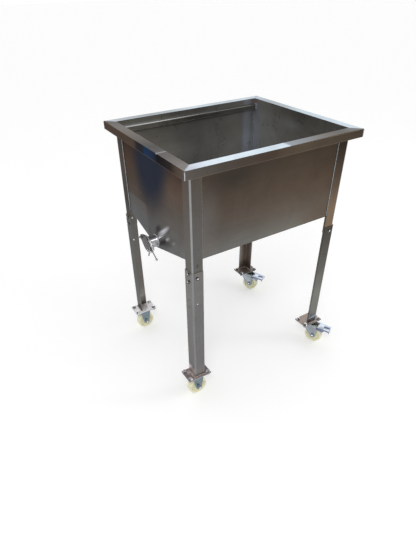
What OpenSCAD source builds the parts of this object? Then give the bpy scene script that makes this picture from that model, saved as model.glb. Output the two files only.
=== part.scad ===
// Uncapping tank for hive frames: an open stainless tank with a folded bottom, a drain gate at
// one end, frame rails inside, bolted angle legs and four castors, two of them with brakes.
// Millimetres, +Z up. The floor is z = 0. The tank is long along X and its outlet faces -X.
// Left is the outlet end, right the far end, front is -Y and rear is +Y.

/* [Tank] */
// Inside length of the tank
tank_len = 584; // [480:1:760]
// Inside width of the tank, a little over the top bar of a hive frame
tank_wid = 484; // [440:1:600]
// Depth of the long walls below the top of the rim
wall_depth = 299; // [240:1:380]
// How much deeper the fold along the middle of the bottom lies
bottom_fall = 68; // [56:1:100]
// Thickness of the tank's sheet
sheet = 1.5; // [1:0.1:2.2]

/* [Rim] */
// Width of the rim's flat top, outwards from the inside of the wall
rim_w = 33; // [28:1:50]
// Height of the rim's turned-down skirt
rim_drop = 26; // [16:1:40]
// Outside radius of the folds in the rim and the rails
fold_r = 3; // [2.5:0.1:5]

/* [Frame rails] */
// Depth of the ledge that the frames hang on, below the top of the rim
rail_down = 19.5; // [10:0.5:40]
// Width of the ledge
rail_w = 12; // [8:0.5:20]
// Height of the rail's face
rail_h = 18; // [12:0.5:30]
// Gap between the ends of a rail and the end walls
rail_end_gap = 3; // [1:0.5:12]

/* [Strainer] */
// Gap that lets the strainer pass the rails
strainer_side_gap = 3; // [1:0.5:12]
// Gap at each end of the strainer
strainer_end_gap = 3; // [1:0.5:12]
// Height of the strainer's edges
strainer_lip = 14; // [8:0.5:24]
// Length of a slot in the strainer
slot_len = 58; // [40:1:80]
// Width of a slot in the strainer
slot_wid = 6; // [3:0.5:8]
// Sheet left between the ends of two slots
slot_bridge = 12; // [8:1:24]
// Sheet left between the sides of two slots
slot_rib = 20; // [14:1:30]
// Plain border round the slots
strainer_border = 24; // [16:1:60]
// Thickness of the rod in the lift handles
lift_rod_d = 6; // [4:0.5:8]
// Width of a lift handle
lift_span = 96; // [60:1:140]
// Height of a lift handle
lift_rise = 36; // [24:1:60]
// Distance of each lift handle from the middle of the tank
lift_at = 190; // [120:1:210]

/* [Legs] */
// Width of the flanges of the lower legs
leg_w = 42; // [36:0.5:60]
// Thickness of the leg angles
leg_t = 3; // [2:0.1:4]
// Inside radius of the fold in the lower legs
leg_fold_r = 1; // [0.5:0.1:2]
// Length of the lower legs
lower_leg_len = 458.5; // [320:0.5:700]
// How far the upper legs reach below the long walls
upper_leg_below = 91; // [72:0.5:160]
// How far the lower legs lap over the upper legs
leg_lap = 51.5; // [48:0.5:70]
// Leg bolt nearest the top of the lower leg, on the end side
bolt_down = 9; // [7:0.5:12]
// Spacing of the two leg bolts on the end side
bolt_pitch = 29; // [24:0.5:34]
// Single leg bolt on the long side, below the top of the lower leg
side_bolt_down = 22; // [20:0.5:26]
// Distance of the leg bolts from the corner of the leg
bolt_in = 20; // [16:0.5:26]
// Distance of the spare bolt holes below the bolts
hole_step = 101; // [60:1:160]
// Diameter of the leg bolts
leg_bolt_d = 6; // [5:0.5:6]

/* [Leg plates] */
// Length of a leg plate, along the tank
plate_len = 92; // [88:0.5:110]
// Width of a leg plate, across the tank
plate_wid = 61.5; // [58:0.5:80]
// Thickness of a leg plate
plate_t = 3; // [2:0.5:6]
// How far a leg plate stands out past the leg at the ends of the tank
plate_out = 27; // [22:0.5:30]
// How far a leg plate stands out past the leg at the long sides
plate_side_out = 8; // [4:0.5:9]
// Spacing of the plate bolts along the tank
plate_bolt_x = 75; // [72:0.5:77]
// Spacing of the plate bolts across the tank
plate_bolt_y = 44; // [42:0.5:46]
// Diameter of the plate bolts
plate_bolt_d = 8; // [6:0.5:8]

/* [Castors] */
// Height of a castor, from the floor to the underside of the leg plate
castor_h = 99; // [97:0.5:112]
// Diameter of a wheel
wheel_d = 72; // [66:0.5:73]
// Width of a wheel's tread
wheel_w = 26; // [20:0.5:28]
// Rounding of the tread's edges
tread_r = 4; // [2:0.5:6]
// Depth of a wheel's tread ring
tread_depth = 9; // [7:0.5:12]
// Thickness of a wheel's web
web_t = 12; // [8:0.5:16]
// Diameter of a wheel's hub
hub_d = 24; // [19:0.5:28]
// Length of a wheel's hub
hub_len = 30; // [29:0.5:32]
// Outside diameter of the sleeve that a wheel turns on
sleeve_d = 12; // [11:0.5:14]
// Diameter of the axle bolt
axle_d = 8; // [6:0.5:8]
// Thickness of the pressed steel of the castors
castor_t = 2.5; // [2:0.1:3]
// Radius of a fork's ends round the axle
fork_end_r = 13; // [11:0.5:15]
// Half the width of a fixed fork at its top
fork_half = 23; // [18:0.5:30]
// Distance of a swivel wheel's axle behind its kingpin
trail = 33; // [28:0.5:36]
// Radius of a swivel castor's crown
crown_r = 25; // [24:0.5:26]
// Thickness of the crown
crown_t = 3; // [2.5:0.1:3.5]
// Diameter of the kingpin
kingpin_d = 10; // [8:0.5:12]
// Diameter of the balls in the swivel
ball_d = 6; // [5:0.1:6.4]
// Radius of the ring of balls
ball_ring_r = 19; // [18:0.1:20]
// Number of balls in a swivel
ball_count = 16; // [10:1:17]
// Direction in which both swivel castors trail at rest, turned from +X
swivel_yaw = -61; // [-90:1:-40]

/* [Brakes] */
// Reach of the pedal's tip from the kingpin
pedal_reach = 100; // [94:0.5:110]
// Width of the pedal at its tip
pedal_w = 43; // [42:0.5:50]
// Thickness of the pedal's sheet
pedal_t = 2; // [1.5:0.1:2]
// Depth of the pedal's root below the top of the castor
pedal_down = 13.5; // [12.5:0.5:14]
// Fall of the pedal from its root to its tip, in degrees
pedal_slope = 7; // [0:0.5:9]
// Height of the turned-down tip of the pedal
pedal_lip = 9; // [6:0.5:12]
// Distance of the brake pin behind the kingpin
brake_pin_at = 50; // [48:0.5:52]
// Depth of the brake pin below the top of the castor
brake_pin_down = 21; // [20:0.5:22]
// Diameter of the brake pin
brake_pin_d = 5; // [4:0.5:5]
// Angle that the pedal is pressed through
pedal_press = 9; // [6:0.5:10]

/* [Outlet gate] */
// Outside diameter of the outlet pipe
pipe_d = 42; // [34:0.5:44]
// Distance of the gate's sealing face from the end wall
pipe_out = 36; // [30:0.5:60]
// Height of the pipe's underside above the lowest fold
outlet_lift = 6; // [5:0.5:10]
// Radius of the round part of the gate flange
gate_r = 27; // [26:0.5:29]
// Distance of the pivot and of the stud from the gate's middle
ear_at = 36; // [36:0.5:42]
// Radius of the gate's ears
ear_r = 9; // [8:0.5:10]
// Turn of the gate's ears up from level
gate_tilt = 14; // [0:1:25]
// Thickness of the gate flange
flange_t = 5; // [4:0.5:7]
// Thickness of the gate flap
flap_t = 3.5; // [3.4:0.1:5]
// Width of the gasket ring
gasket_w = 2.6; // [2:0.1:3]
// Depth of the gasket's groove
gasket_t = 1.6; // [1:0.1:2.5]
// Diameter of the pivot bolt and the clamp stud
gate_bolt_d = 6; // [5:0.5:7]
// Thickness of the rod of the gate's handle
handle_d = 4.5; // [3.6:0.1:5]
// Bend radius of the gate's handle
handle_bend = 60; // [40:1:90]
// Angle that the handle's rod bends through
handle_turn = 32; // [20:1:45]
// Span of the wing nut
wing_span = 34; // [28:1:40]
// Travel of the wing nut when it is loosened
clamp_travel = 3; // [1:0.5:4]

/* [Hidden] */

$fn = 48;

// Clearances shared by mating pieces
run_gap = 0.06;
loose_gap = 0.2;
weld_gap = 0.1;
face_gap = 0.1;
cut = 1;
hex_round = 1 / cos(30);

// Heights
plate_top = castor_h + plate_t;
upper_leg_end = wall_depth + upper_leg_below;
rim_top = plate_top + lower_leg_len + upper_leg_end - leg_lap;
lower_leg_top = plate_top + lower_leg_len;
fold_z = rim_top - wall_depth - bottom_fall;
wall_foot_z = rim_top - wall_depth;

// Half sizes of the tank, inside and outside, and of the legs that hug its corners
in_x = tank_len / 2;
in_y = tank_wid / 2;
out_x = in_x + sheet;
out_y = in_y + sheet;
leg_x = out_x + 2 * leg_t;
leg_y = out_y + 2 * leg_t;
slope = atan(bottom_fall / out_y);
slope_t = sheet / cos(slope);

// Castors
castor_x = leg_x + plate_out - plate_len / 2;
castor_y = leg_y + plate_side_out - plate_wid / 2;
axle_z = wheel_d / 2;
castor_plate_z = castor_h - castor_t;
side_play = 0.5;
fork_in = hub_len / 2 + side_play;
fork_out = fork_in + castor_t;
race_h = 3;
race_groove = 0.7;
race_wall = 4.5;
ball_z = castor_plate_z - race_h + race_groove - ball_d / 2 - face_gap;
crown_top = ball_z - ball_d / 2 + race_groove - face_gap;
crown_z = crown_top - crown_t;
kingpin_head_r = kingpin_d / 2 + 3;
kingpin_head_t = 1.2;
kingpin_nut_h = 5;

// Forks: the nose leads the kingpin, the heel runs back to the arm that carries the brake pin
fork_nose = 18;
fork_heel = 32;
arm_r = brake_pin_d / 2 + 2;
arm_neck = 3;
arm_drop = 12;
nose_a = atan2(crown_z - axle_z, trail + fork_nose)
  - asin(fork_end_r / norm([trail + fork_nose, crown_z - axle_z]));

// Brakes: on a low castor the pin still clears the tread, and the pedal keeps its height above the pin
tread_clear = 2;
pin_over_tread = wheel_d / 2 + brake_pin_d / 2 + tread_clear;
brake_pin_z = max(castor_h - brake_pin_down,
  axle_z + sqrt(pow(pin_over_tread, 2) - pow(brake_pin_at - trail, 2)));
pedal_z = brake_pin_z + brake_pin_down - pedal_down;
flange_gap = 0.3;
pedal_in = fork_out + flange_gap;
pedal_out = pedal_in + pedal_t;
pedal_root = brake_pin_at - 2;
pedal_len = (pedal_reach - pedal_root) / cos(pedal_slope);
ear_of_pedal_r = 7;
pedal_web_drop = 12;
pedal_web_l = 11;
shoe_half = wheel_w / 2 - 2;
shoe_gap = 0.5;
shoe_l = 10;
shoe_from = brake_pin_at + 9;
shoe_to = shoe_from + shoe_l;

// Gate
outlet_z = fold_z + outlet_lift + pipe_d / 2;
pipe_r = pipe_d / 2;
bore_r = pipe_r - sheet;
flap_z = pipe_out + face_gap;
washer_t = 1.5;
washer_r = ear_r - 1.5;
washer_z = flap_z + flap_t;
wing_z = washer_z + washer_t;
wing_hub_h = 8;
wing_h = 13;
wing_tip_r = 4;
gate_bolt_r = gate_bolt_d / 2;
gate_af = 10;
gate_head_h = 4;
stud_end = wing_z + wing_hub_h + clamp_travel + 0.6;
dome_r = 4.6;
dome_hex_h = 5;
handle_from = ear_at + ear_r - 0.2;

// Footprint: the middle of the whole outline on the floor is the origin
tip_x = pedal_reach * cos(swivel_yaw) + abs(pedal_w / 2 * sin(swivel_yaw));
tip_y = pedal_reach * sin(swivel_yaw) - abs(pedal_w / 2 * cos(swivel_yaw));
foot_right = max(castor_x + tip_x, in_x + rim_w);
foot_left = out_x + max(wing_z + wing_h, stud_end, rim_w - sheet);
foot_front = max(castor_y - tip_y, in_y + rim_w);
foot_rear = in_y + rim_w;
tank_x = (foot_left - foot_right) / 2;
tank_y = (foot_front - foot_rear) / 2;

steel = [0.62, 0.61, 0.59];
steel_dark = [0.45, 0.44, 0.42];
zinc = [0.62, 0.66, 0.70];
nylon = [0.90, 0.89, 0.76];
silicone = [0.86, 0.84, 0.80];

// Helpers

module place() translate([tank_x, tank_y, 0]) children();

module corner(sx, sy)
  mirror([sx < 0 ? 1 : 0, 0, 0])
    mirror([0, sy < 0 ? 1 : 0, 0]) children();

// Section of a folded angle: outer corner at the origin, flanges along +X and +Y
module folded_angle(a, b, t, r) {
  translate([r, 0]) square([a - r, t]);
  translate([0, r]) square([t, b - r]);
  intersection() {
    square(r);
    difference() {
      translate([r, r]) circle(r);
      if (r > t) translate([r, r]) circle(r - t);
    }
  }
}

module hex_nut(af, h, bore_d)
  difference() {
    cylinder(d = af * hex_round, h = h, $fn = 6);
    translate([0, 0, -cut]) cylinder(d = bore_d + loose_gap, h = h + 2 * cut);
  }

// Head below z = 0, shank above it
module hex_bolt(d, af, head_h, len) {
  translate([0, 0, -head_h]) cylinder(d = af * hex_round, h = head_h, $fn = 6);
  translate([0, 0, -head_h / 2]) cylinder(d = d, h = len + head_h / 2);
}

// Tank walls and bottom

module long_wall(side)
  translate([-in_x, side > 0 ? in_y : -out_y, wall_foot_z + slope_t])
    cube([tank_len, sheet, wall_depth - slope_t - sheet]);

module front_wall() color(steel) place() long_wall(-1);
module rear_wall() color(steel) place() long_wall(1);

module end_sheet()
  rotate([90, 0, 90]) linear_extrude(sheet)
    polygon([[-out_y, rim_top - sheet], [-out_y, wall_foot_z], [0, fold_z],
      [out_y, wall_foot_z], [out_y, rim_top - sheet]]);

module end_wall() color(steel) place() translate([in_x, 0, 0]) end_sheet();

module outlet_wall() color(steel) place() difference() {
  translate([-out_x, 0, 0]) end_sheet();
  at_outlet() translate([0, 0, -sheet - cut])
    cylinder(r = pipe_r + weld_gap, h = sheet + 2 * cut);
}

// One sheet folded along the middle, so that honey runs to the outlet
module trough_bottom() color(steel) place()
  translate([-in_x, 0, 0]) rotate([90, 0, 90]) linear_extrude(tank_len)
    polygon([[-out_y, wall_foot_z], [0, fold_z], [out_y, wall_foot_z],
      [out_y, wall_foot_z + slope_t], [0, fold_z + slope_t], [-out_y, wall_foot_z + slope_t]]);

// Rim: a folded strip along each side, mitred at the corners

module rim_side(run, off)
  intersection() {
    translate([off + rim_w, run + rim_w + cut, rim_top]) rotate([90, 0, 0])
      linear_extrude(2 * (run + rim_w + cut))
        rotate(180) folded_angle(rim_w, rim_drop, sheet, fold_r);
    translate([0, 0, rim_top - rim_drop - cut]) linear_extrude(rim_drop + 2 * cut)
      polygon([[off - cut, -run + cut], [off + rim_w + cut, -run - rim_w - cut],
        [off + rim_w + cut, run + rim_w + cut], [off - cut, run - cut]]);
  }

module rim_right() color(steel) place() rim_side(in_y, in_x);
module rim_left() color(steel) place() mirror([1, 0, 0]) rim_side(in_y, in_x);
module rim_rear() color(steel) place() rotate([0, 0, 90]) rim_side(in_x, in_y);
module rim_front() color(steel) place() rotate([0, 0, -90]) rim_side(in_x, in_y);

// Rail: a folded channel, open towards the wall that it is welded to

module rail(side)
  corner(1, side)
    translate([-in_x + rail_end_gap, in_y - rail_w, rim_top - rail_down])
      rotate([90, 0, 90]) linear_extrude(tank_len - 2 * rail_end_gap) {
        mirror([0, 1]) folded_angle(rail_w, rail_h / 2, sheet, fold_r);
        translate([0, -rail_h]) folded_angle(rail_w, rail_h / 2, sheet, fold_r);
      }

module rail_front() color(steel) place() rail(-1);
module rail_rear() color(steel) place() rail(1);

// Strainer: a slotted plate with a strip under each long edge, standing on the sloping bottom

strainer_x = in_x - strainer_end_gap;
strainer_y = in_y - rail_w - strainer_side_gap;
strainer_foot = fold_z + slope_t + strainer_y * tan(slope) + face_gap;
strainer_z = strainer_foot + strainer_lip;
slot_cols = floor((2 * (strainer_x - strainer_border) + slot_bridge) / (slot_len + slot_bridge));
slot_rows = floor((2 * (strainer_y - strainer_border) + slot_rib) / (slot_wid + slot_rib));

module strainer() color(steel) place() {
  translate([0, 0, strainer_z - sheet]) linear_extrude(sheet) difference() {
    square([2 * strainer_x, 2 * strainer_y], center = true);
    for (i = [0 : slot_cols - 1], j = [0 : slot_rows - 1])
      translate([(i - (slot_cols - 1) / 2) * (slot_len + slot_bridge),
        (j - (slot_rows - 1) / 2) * (slot_wid + slot_rib)])
        square([slot_len, slot_wid], center = true);
  }
}

module strainer_feet() color(steel) place() for (side = [-1, 1])
  corner(1, side) translate([-strainer_x, strainer_y - sheet, strainer_foot])
    cube([2 * strainer_x, sheet, strainer_lip - sheet]);

// Rod bent into a bow, its feet standing on z = 0
module lift_bow() {
  bend = 12;
  top = lift_rise - bend;
  for (side = [-1, 1]) corner(1, side) {
    translate([0, lift_span / 2, 0]) cylinder(d = lift_rod_d, h = top);
    translate([0, lift_span / 2 - bend, top]) rotate([90, 0, 90])
      rotate_extrude(angle = 90) translate([bend, 0]) circle(d = lift_rod_d);
    translate([0, 0, lift_rise]) rotate([-90, 0, 0])
      cylinder(d = lift_rod_d, h = lift_span / 2 - bend);
  }
}

module strainer_handles() color(steel) place()
  for (side = [-1, 1]) translate([side * lift_at, 0, strainer_z]) lift_bow();

// Legs: an upper angle welded to the tank's corner, a lower angle bolted over it

module upper_leg(sx, sy) color(steel_dark) place() corner(sx, sy)
  translate([leg_x - leg_t, leg_y - leg_t, rim_top - upper_leg_end])
    difference() {
      linear_extrude(upper_leg_end - sheet)
        rotate(180) folded_angle(leg_w - leg_t, leg_w - leg_t, leg_t, leg_t);
      translate([leg_t, leg_t, upper_leg_end - rim_top]) leg_holes(0);
    }

module lower_leg(sx, sy) color(steel_dark) place() corner(sx, sy)
  translate([leg_x, leg_y, 0]) difference() {
    translate([0, 0, plate_top]) linear_extrude(lower_leg_len)
      rotate(180) folded_angle(leg_w, leg_w, leg_t, leg_t + leg_fold_r);
    leg_holes(0);
    leg_holes(hole_step);
  }

// Holes through both leg angles, from a frame whose Z axis is the leg's outer corner
module leg_holes(down) at_leg_bolts(down)
  translate([0, 0, -cut]) cylinder(d = leg_bolt_d + loose_gap, h = 2 * leg_t + 2 * cut);

// Bolt axes point inwards, with z = 0 on the leg's outside face
module at_leg_bolts(down) {
  for (z = [bolt_down, bolt_down + bolt_pitch])
    translate([0, -bolt_in, lower_leg_top - down - z]) rotate([0, -90, 0]) children();
  translate([-bolt_in, 0, lower_leg_top - down - side_bolt_down])
    rotate([90, 0, 0]) children();
}

leg_af = 10;
leg_head_h = 4;
leg_nut_h = 5;

module leg_fasteners() color(zinc) place()
  for (sx = [-1, 1], sy = [-1, 1]) corner(sx, sy) translate([leg_x, leg_y, 0])
    at_leg_bolts(0) {
      hex_bolt(leg_bolt_d, leg_af, leg_head_h, 2 * leg_t + leg_nut_h + 1.5);
      translate([0, 0, 2 * leg_t]) hex_nut(leg_af, leg_nut_h, leg_bolt_d);
    }

module upper_leg_front_left() upper_leg(-1, -1);
module upper_leg_rear_left() upper_leg(-1, 1);
module upper_leg_front_right() upper_leg(1, -1);
module upper_leg_rear_right() upper_leg(1, 1);
module lower_leg_front_left() lower_leg(-1, -1);
module lower_leg_rear_left() lower_leg(-1, 1);
module lower_leg_front_right() lower_leg(1, -1);
module lower_leg_rear_right() lower_leg(1, 1);

// Leg plates and castors

module at_castor(sx, sy) place() translate([sx * castor_x, sy * castor_y, 0]) children();

module at_plate_bolts()
  for (bx = [-1, 1], by = [-1, 1])
    translate([bx * plate_bolt_x / 2, by * plate_bolt_y / 2, 0]) children();

module drilled_plate(t) difference() {
  translate([-plate_len / 2, -plate_wid / 2, 0]) cube([plate_len, plate_wid, t]);
  at_plate_bolts() translate([0, 0, -cut])
    cylinder(d = plate_bolt_d + loose_gap, h = t + 2 * cut);
}

module leg_plate(sx, sy) color(steel) at_castor(sx, sy)
  translate([0, 0, castor_h]) drilled_plate(plate_t);

module leg_plate_front_left() leg_plate(-1, -1);
module leg_plate_rear_left() leg_plate(-1, 1);
module leg_plate_front_right() leg_plate(1, -1);
module leg_plate_rear_right() leg_plate(1, 1);

plate_af = 13;
plate_head_h = 5.3;
plate_nut_h = 6.5;

module castor_fasteners() color(zinc)
  for (sx = [-1, 1], sy = [-1, 1]) at_castor(sx, sy) at_plate_bolts() {
    translate([0, 0, castor_plate_z])
      hex_bolt(plate_bolt_d, plate_af, plate_head_h, castor_t + plate_t + plate_nut_h + 2);
    translate([0, 0, plate_top]) hex_nut(plate_af, plate_nut_h, plate_bolt_d);
  }

// Runs along the wheel's axle, with z = 0 at its middle
module at_axle(behind) translate([behind, 0, axle_z]) rotate([90, 0, 0]) children();

module axle_hole(behind) at_axle(behind)
  cylinder(d = axle_d + loose_gap, h = 2 * fork_out + 2 * cut, center = true);

// Both cheeks of a fork, from an outline in the plane of the wheel
module cheeks() for (side = [-1, 1])
  corner(1, side) translate([0, fork_out, 0]) rotate([90, 0, 0])
    linear_extrude(castor_t) children();

module fixed_fork(sx, sy) color(zinc) at_castor(sx, sy) difference() {
  union() {
    translate([0, 0, castor_plate_z]) drilled_plate(castor_t);
    cheeks() {
      polygon([[-fork_half, castor_h - castor_t / 2], [-fork_end_r, axle_z],
        [fork_end_r, axle_z], [fork_half, castor_h - castor_t / 2]]);
      translate([0, axle_z]) circle(fork_end_r);
    }
  }
  axle_hole(0);
}

module fixed_fork_front_left() fixed_fork(-1, -1);
module fixed_fork_rear_left() fixed_fork(-1, 1);

module swivel_plate(sx, sy) color(zinc) at_castor(sx, sy) difference() {
  union() {
    translate([0, 0, castor_plate_z]) drilled_plate(castor_t);
    translate([0, 0, castor_plate_z - race_h])
      cylinder(r = ball_ring_r + race_wall, h = race_h + castor_t / 2);
  }
  translate([0, 0, castor_plate_z - race_h - cut])
    cylinder(r = ball_ring_r - race_wall, h = race_h + cut);
  ball_groove();
  translate([0, 0, castor_plate_z - cut])
    cylinder(d = kingpin_d + loose_gap, h = castor_t + 2 * cut);
  translate([0, 0, castor_h - kingpin_head_t - face_gap])
    cylinder(r = kingpin_head_r + loose_gap, h = kingpin_head_t + face_gap + cut);
}

module ball_groove() translate([0, 0, ball_z]) rotate_extrude()
  translate([ball_ring_r, 0]) circle(d = ball_d + 2 * face_gap);

module swivel_plate_front_right() swivel_plate(1, -1);
module swivel_plate_rear_right() swivel_plate(1, 1);

module swivel_kingpins() color(zinc) for (sy = [-1, 1]) at_castor(1, sy) {
  translate([0, 0, castor_h - kingpin_head_t]) cylinder(r = kingpin_head_r, h = kingpin_head_t);
  translate([0, 0, crown_z - kingpin_nut_h - 0.5])
    cylinder(d = kingpin_d, h = castor_h - crown_z + kingpin_nut_h);
  translate([0, 0, crown_z - kingpin_nut_h - face_gap])
    cylinder(r = kingpin_head_r, h = kingpin_nut_h);
}

module swivel_balls() color(zinc) for (sy = [-1, 1]) at_castor(1, sy)
  for (k = [0 : ball_count - 1]) rotate([0, 0, k * 360 / ball_count])
    translate([ball_ring_r, 0, ball_z]) sphere(d = ball_d);

// The frame that swivels: its axle trails behind the kingpin along +X
module at_fork(sy) at_castor(1, sy) rotate([0, 0, swivel_yaw]) children();

module at_brake_pin() translate([brake_pin_at, 0, brake_pin_z]) rotate([90, 0, 0]) children();

module swivel_fork(sy) color(zinc) at_fork(sy) difference() {
  union() {
    translate([0, 0, crown_z]) cylinder(r = crown_r, h = crown_t);
    translate([-fork_nose, -fork_out, crown_z])
      cube([fork_nose + fork_heel, 2 * fork_out, crown_t]);
    cheeks() {
      polygon([[-fork_nose, crown_z], [-fork_nose, crown_top], [fork_heel, crown_top],
        [brake_pin_at - 4, brake_pin_z + arm_r], [brake_pin_at, brake_pin_z + arm_r],
        [brake_pin_at, brake_pin_z - arm_r], [brake_pin_at - arm_neck, brake_pin_z - arm_r - arm_drop],
        [trail + fork_end_r, axle_z], [trail, axle_z],
        [trail - fork_end_r * sin(nose_a), axle_z - fork_end_r * cos(nose_a)]]);
      translate([trail, axle_z]) circle(fork_end_r);
      translate([brake_pin_at, brake_pin_z]) circle(arm_r);
    }
  }
  ball_groove();
  translate([0, 0, crown_z - cut])
    cylinder(d = kingpin_d + 2 * run_gap, h = crown_t + 2 * cut);
  axle_hole(trail);
  at_brake_pin() cylinder(d = brake_pin_d + loose_gap, h = 2 * fork_out + 2 * cut, center = true);
}

module swivel_fork_front_right() swivel_fork(-1);
module swivel_fork_rear_right() swivel_fork(1);

module wheel() rotate_extrude() {
  translate([sleeve_d / 2 + run_gap, -hub_len / 2])
    square([(hub_d - sleeve_d) / 2 - run_gap, hub_len]);
  translate([hub_d / 2 - cut, -web_t / 2])
    square([axle_z - tread_depth - hub_d / 2 + 2 * cut, web_t]);
  translate([axle_z - tread_depth, -wheel_w / 2]) square([tread_depth - tread_r, wheel_w]);
  translate([axle_z - tread_depth, tread_r - wheel_w / 2])
    square([tread_depth, wheel_w - 2 * tread_r]);
  for (side = [-1, 1]) translate([axle_z - tread_r, side * (wheel_w / 2 - tread_r)])
    circle(tread_r);
}

module sleeve() difference() {
  cylinder(d = sleeve_d, h = 2 * fork_in, center = true);
  cylinder(d = axle_d + loose_gap, h = 2 * fork_in + 2 * cut, center = true);
}

axle_af = 13;
axle_head_h = 5.3;
axle_nut_h = 6.5;

// Bolt head on the far side, nut on the side that faces the front
module axle() {
  translate([0, 0, -fork_out]) hex_bolt(axle_d, axle_af, axle_head_h,
    2 * fork_out + axle_nut_h + 1.5);
  translate([0, 0, fork_out]) hex_nut(axle_af, axle_nut_h, axle_d);
}

module fixed_axle(sy) at_castor(-1, sy) at_axle(0) children();
module swivel_axle(sy) at_fork(sy) at_axle(trail) rotate([180, 0, 0]) children();

module wheel_front_left() color(nylon) fixed_axle(-1) wheel();
module wheel_rear_left() color(nylon) fixed_axle(1) wheel();
module wheel_front_right() color(nylon) swivel_axle(-1) wheel();
module wheel_rear_right() color(nylon) swivel_axle(1) wheel();
module sleeve_front_left() color(zinc) fixed_axle(-1) sleeve();
module sleeve_rear_left() color(zinc) fixed_axle(1) sleeve();
module sleeve_front_right() color(zinc) swivel_axle(-1) sleeve();
module sleeve_rear_right() color(zinc) swivel_axle(1) sleeve();
module axle_front_left() color(zinc) fixed_axle(-1) axle();
module axle_rear_left() color(zinc) fixed_axle(1) axle();
module axle_front_right() color(zinc) swivel_axle(-1) axle();
module axle_rear_right() color(zinc) swivel_axle(1) axle();

// Brake: a pedal on a pin, with a shoe that comes down on the tread

// Frame of the pedal's sloping plate: X along it from its root, z = 0 on top
module at_pedal() translate([pedal_root, 0, pedal_z]) rotate([0, pedal_slope, 0]) children();

function pedal_drop(x) = pedal_z - pedal_t / 2 - (x - pedal_root) * tan(pedal_slope);

// Side of the pedal: an ear round the pin and a web that reaches down beside the shoe
module pedal_cheek() {
  translate([brake_pin_at, brake_pin_z]) circle(ear_of_pedal_r);
  polygon([[brake_pin_at, brake_pin_z - ear_of_pedal_r], [brake_pin_at, pedal_drop(brake_pin_at)],
    [shoe_to + pedal_web_l, pedal_drop(shoe_to + pedal_web_l)],
    [shoe_to + arm_r, brake_pin_z - ear_of_pedal_r],
    [shoe_to, brake_pin_z - pedal_web_drop], [shoe_from, brake_pin_z - pedal_web_drop]]);
}

module brake_pedal(sy) color(zinc) at_fork(sy) difference() {
  union() {
    at_pedal() {
      translate([0, 0, -pedal_t]) linear_extrude(pedal_t)
        polygon([[0, -pedal_out], [0, pedal_out], [shoe_from - pedal_root, pedal_out],
          [shoe_to - pedal_root, pedal_w / 2], [pedal_len, pedal_w / 2],
          [pedal_len, -pedal_w / 2], [shoe_to - pedal_root, -pedal_w / 2],
          [shoe_from - pedal_root, -pedal_out]]);
      translate([pedal_len - pedal_t, -pedal_w / 2, -pedal_lip])
        cube([pedal_t, pedal_w, pedal_lip]);
    }
    for (side = [-1, 1]) corner(1, side) translate([0, pedal_out, 0]) rotate([90, 0, 0])
      linear_extrude(pedal_t) pedal_cheek();
    translate([shoe_from, -pedal_in - pedal_t / 2, brake_pin_z - pedal_web_drop])
      cube([pedal_t, 2 * pedal_in + pedal_t,
        pedal_drop(shoe_from + pedal_t) - brake_pin_z + pedal_web_drop]);
    translate([shoe_from, -shoe_half, axle_z])
      cube([shoe_to - shoe_from, 2 * shoe_half, pedal_drop(shoe_to) - axle_z]);
  }
  // The tread as the pedal sees it when it is fully pressed
  translate([brake_pin_at, 0, brake_pin_z]) rotate([0, -pedal_press, 0])
    translate([trail - brake_pin_at, 0, axle_z - brake_pin_z]) rotate([90, 0, 0])
      cylinder(r = axle_z + shoe_gap, h = 2 * pedal_in - cut, center = true);
  at_brake_pin() cylinder(d = brake_pin_d + 2 * run_gap, h = 3 * pedal_out, center = true);
  at_pedal() for (k = [-2 : 2]) translate([pedal_len - pedal_t - cut,
    (k - 0.25) * pedal_w / 6, -pedal_lip - cut]) cube([pedal_t + 2 * cut, pedal_w / 12, pedal_lip]);
}

module brake_pedal_front_right() brake_pedal(-1);
module brake_pedal_rear_right() brake_pedal(1);

module brake_pin(sy) color(zinc) at_fork(sy) at_brake_pin() {
  cylinder(d = brake_pin_d, h = 2 * pedal_out + 1.5, center = true);
  for (side = [-1, 1]) translate([0, 0, side * (pedal_out + face_gap + 0.75)])
    cylinder(d = brake_pin_d + 3, h = 1.5, center = true);
}

module brake_pin_front_right() brake_pin(-1);
module brake_pin_rear_right() brake_pin(1);

// Outlet gate. Its frame has Z pointing out of the tank along -X, X up and Y along +Y.

module at_outlet() translate([-out_x, 0, outlet_z]) rotate([0, -90, 0]) children();

// As at_outlet, turned so that the pivot's ear lies along +Y and the stud's along -Y
module at_gate() place() at_outlet() rotate([0, 0, -gate_tilt]) children();

module ring(r_out, r_in, h) difference() {
  cylinder(r = r_out, h = h);
  translate([0, 0, -cut]) cylinder(r = r_in, h = h + 2 * cut);
}

module outlet_pipe() color(steel) place() at_outlet()
  translate([0, 0, -sheet]) ring(pipe_r, bore_r, pipe_out + sheet);

// Round disc with two ears, joined by straight sides a hair inside the tangents
module gate_blank(t) {
  a = acos((gate_r - ear_r) / ear_at);
  er = ear_r - face_gap / 2;
  gr = gate_r - face_gap / 2;
  half = [[-er * sin(a), ear_at + er * cos(a)], [er * sin(a), ear_at + er * cos(a)],
    [gr * sin(a), gr * cos(a)], [gr * sin(a), -gr * cos(a)]];
  cylinder(r = gate_r, h = t);
  for (side = [-1, 1]) translate([0, side * ear_at, 0]) cylinder(r = ear_r, h = t);
  linear_extrude(t) polygon(concat(half, [for (p = half) -p]));
}

module gate_flange() color(steel) at_gate() difference() {
  translate([0, 0, pipe_out - flange_t]) gate_blank(flange_t);
  translate([0, 0, pipe_out - flange_t - cut])
    cylinder(r = pipe_r + weld_gap, h = flange_t + 2 * cut);
  translate([0, 0, pipe_out - gasket_t])
    cylinder(r = pipe_r + weld_gap + gasket_w + face_gap, h = gasket_t + cut);
  for (side = [-1, 1]) translate([0, side * ear_at, pipe_out - flange_t - cut])
    cylinder(d = gate_bolt_d + loose_gap, h = flange_t + 2 * cut);
}

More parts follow.
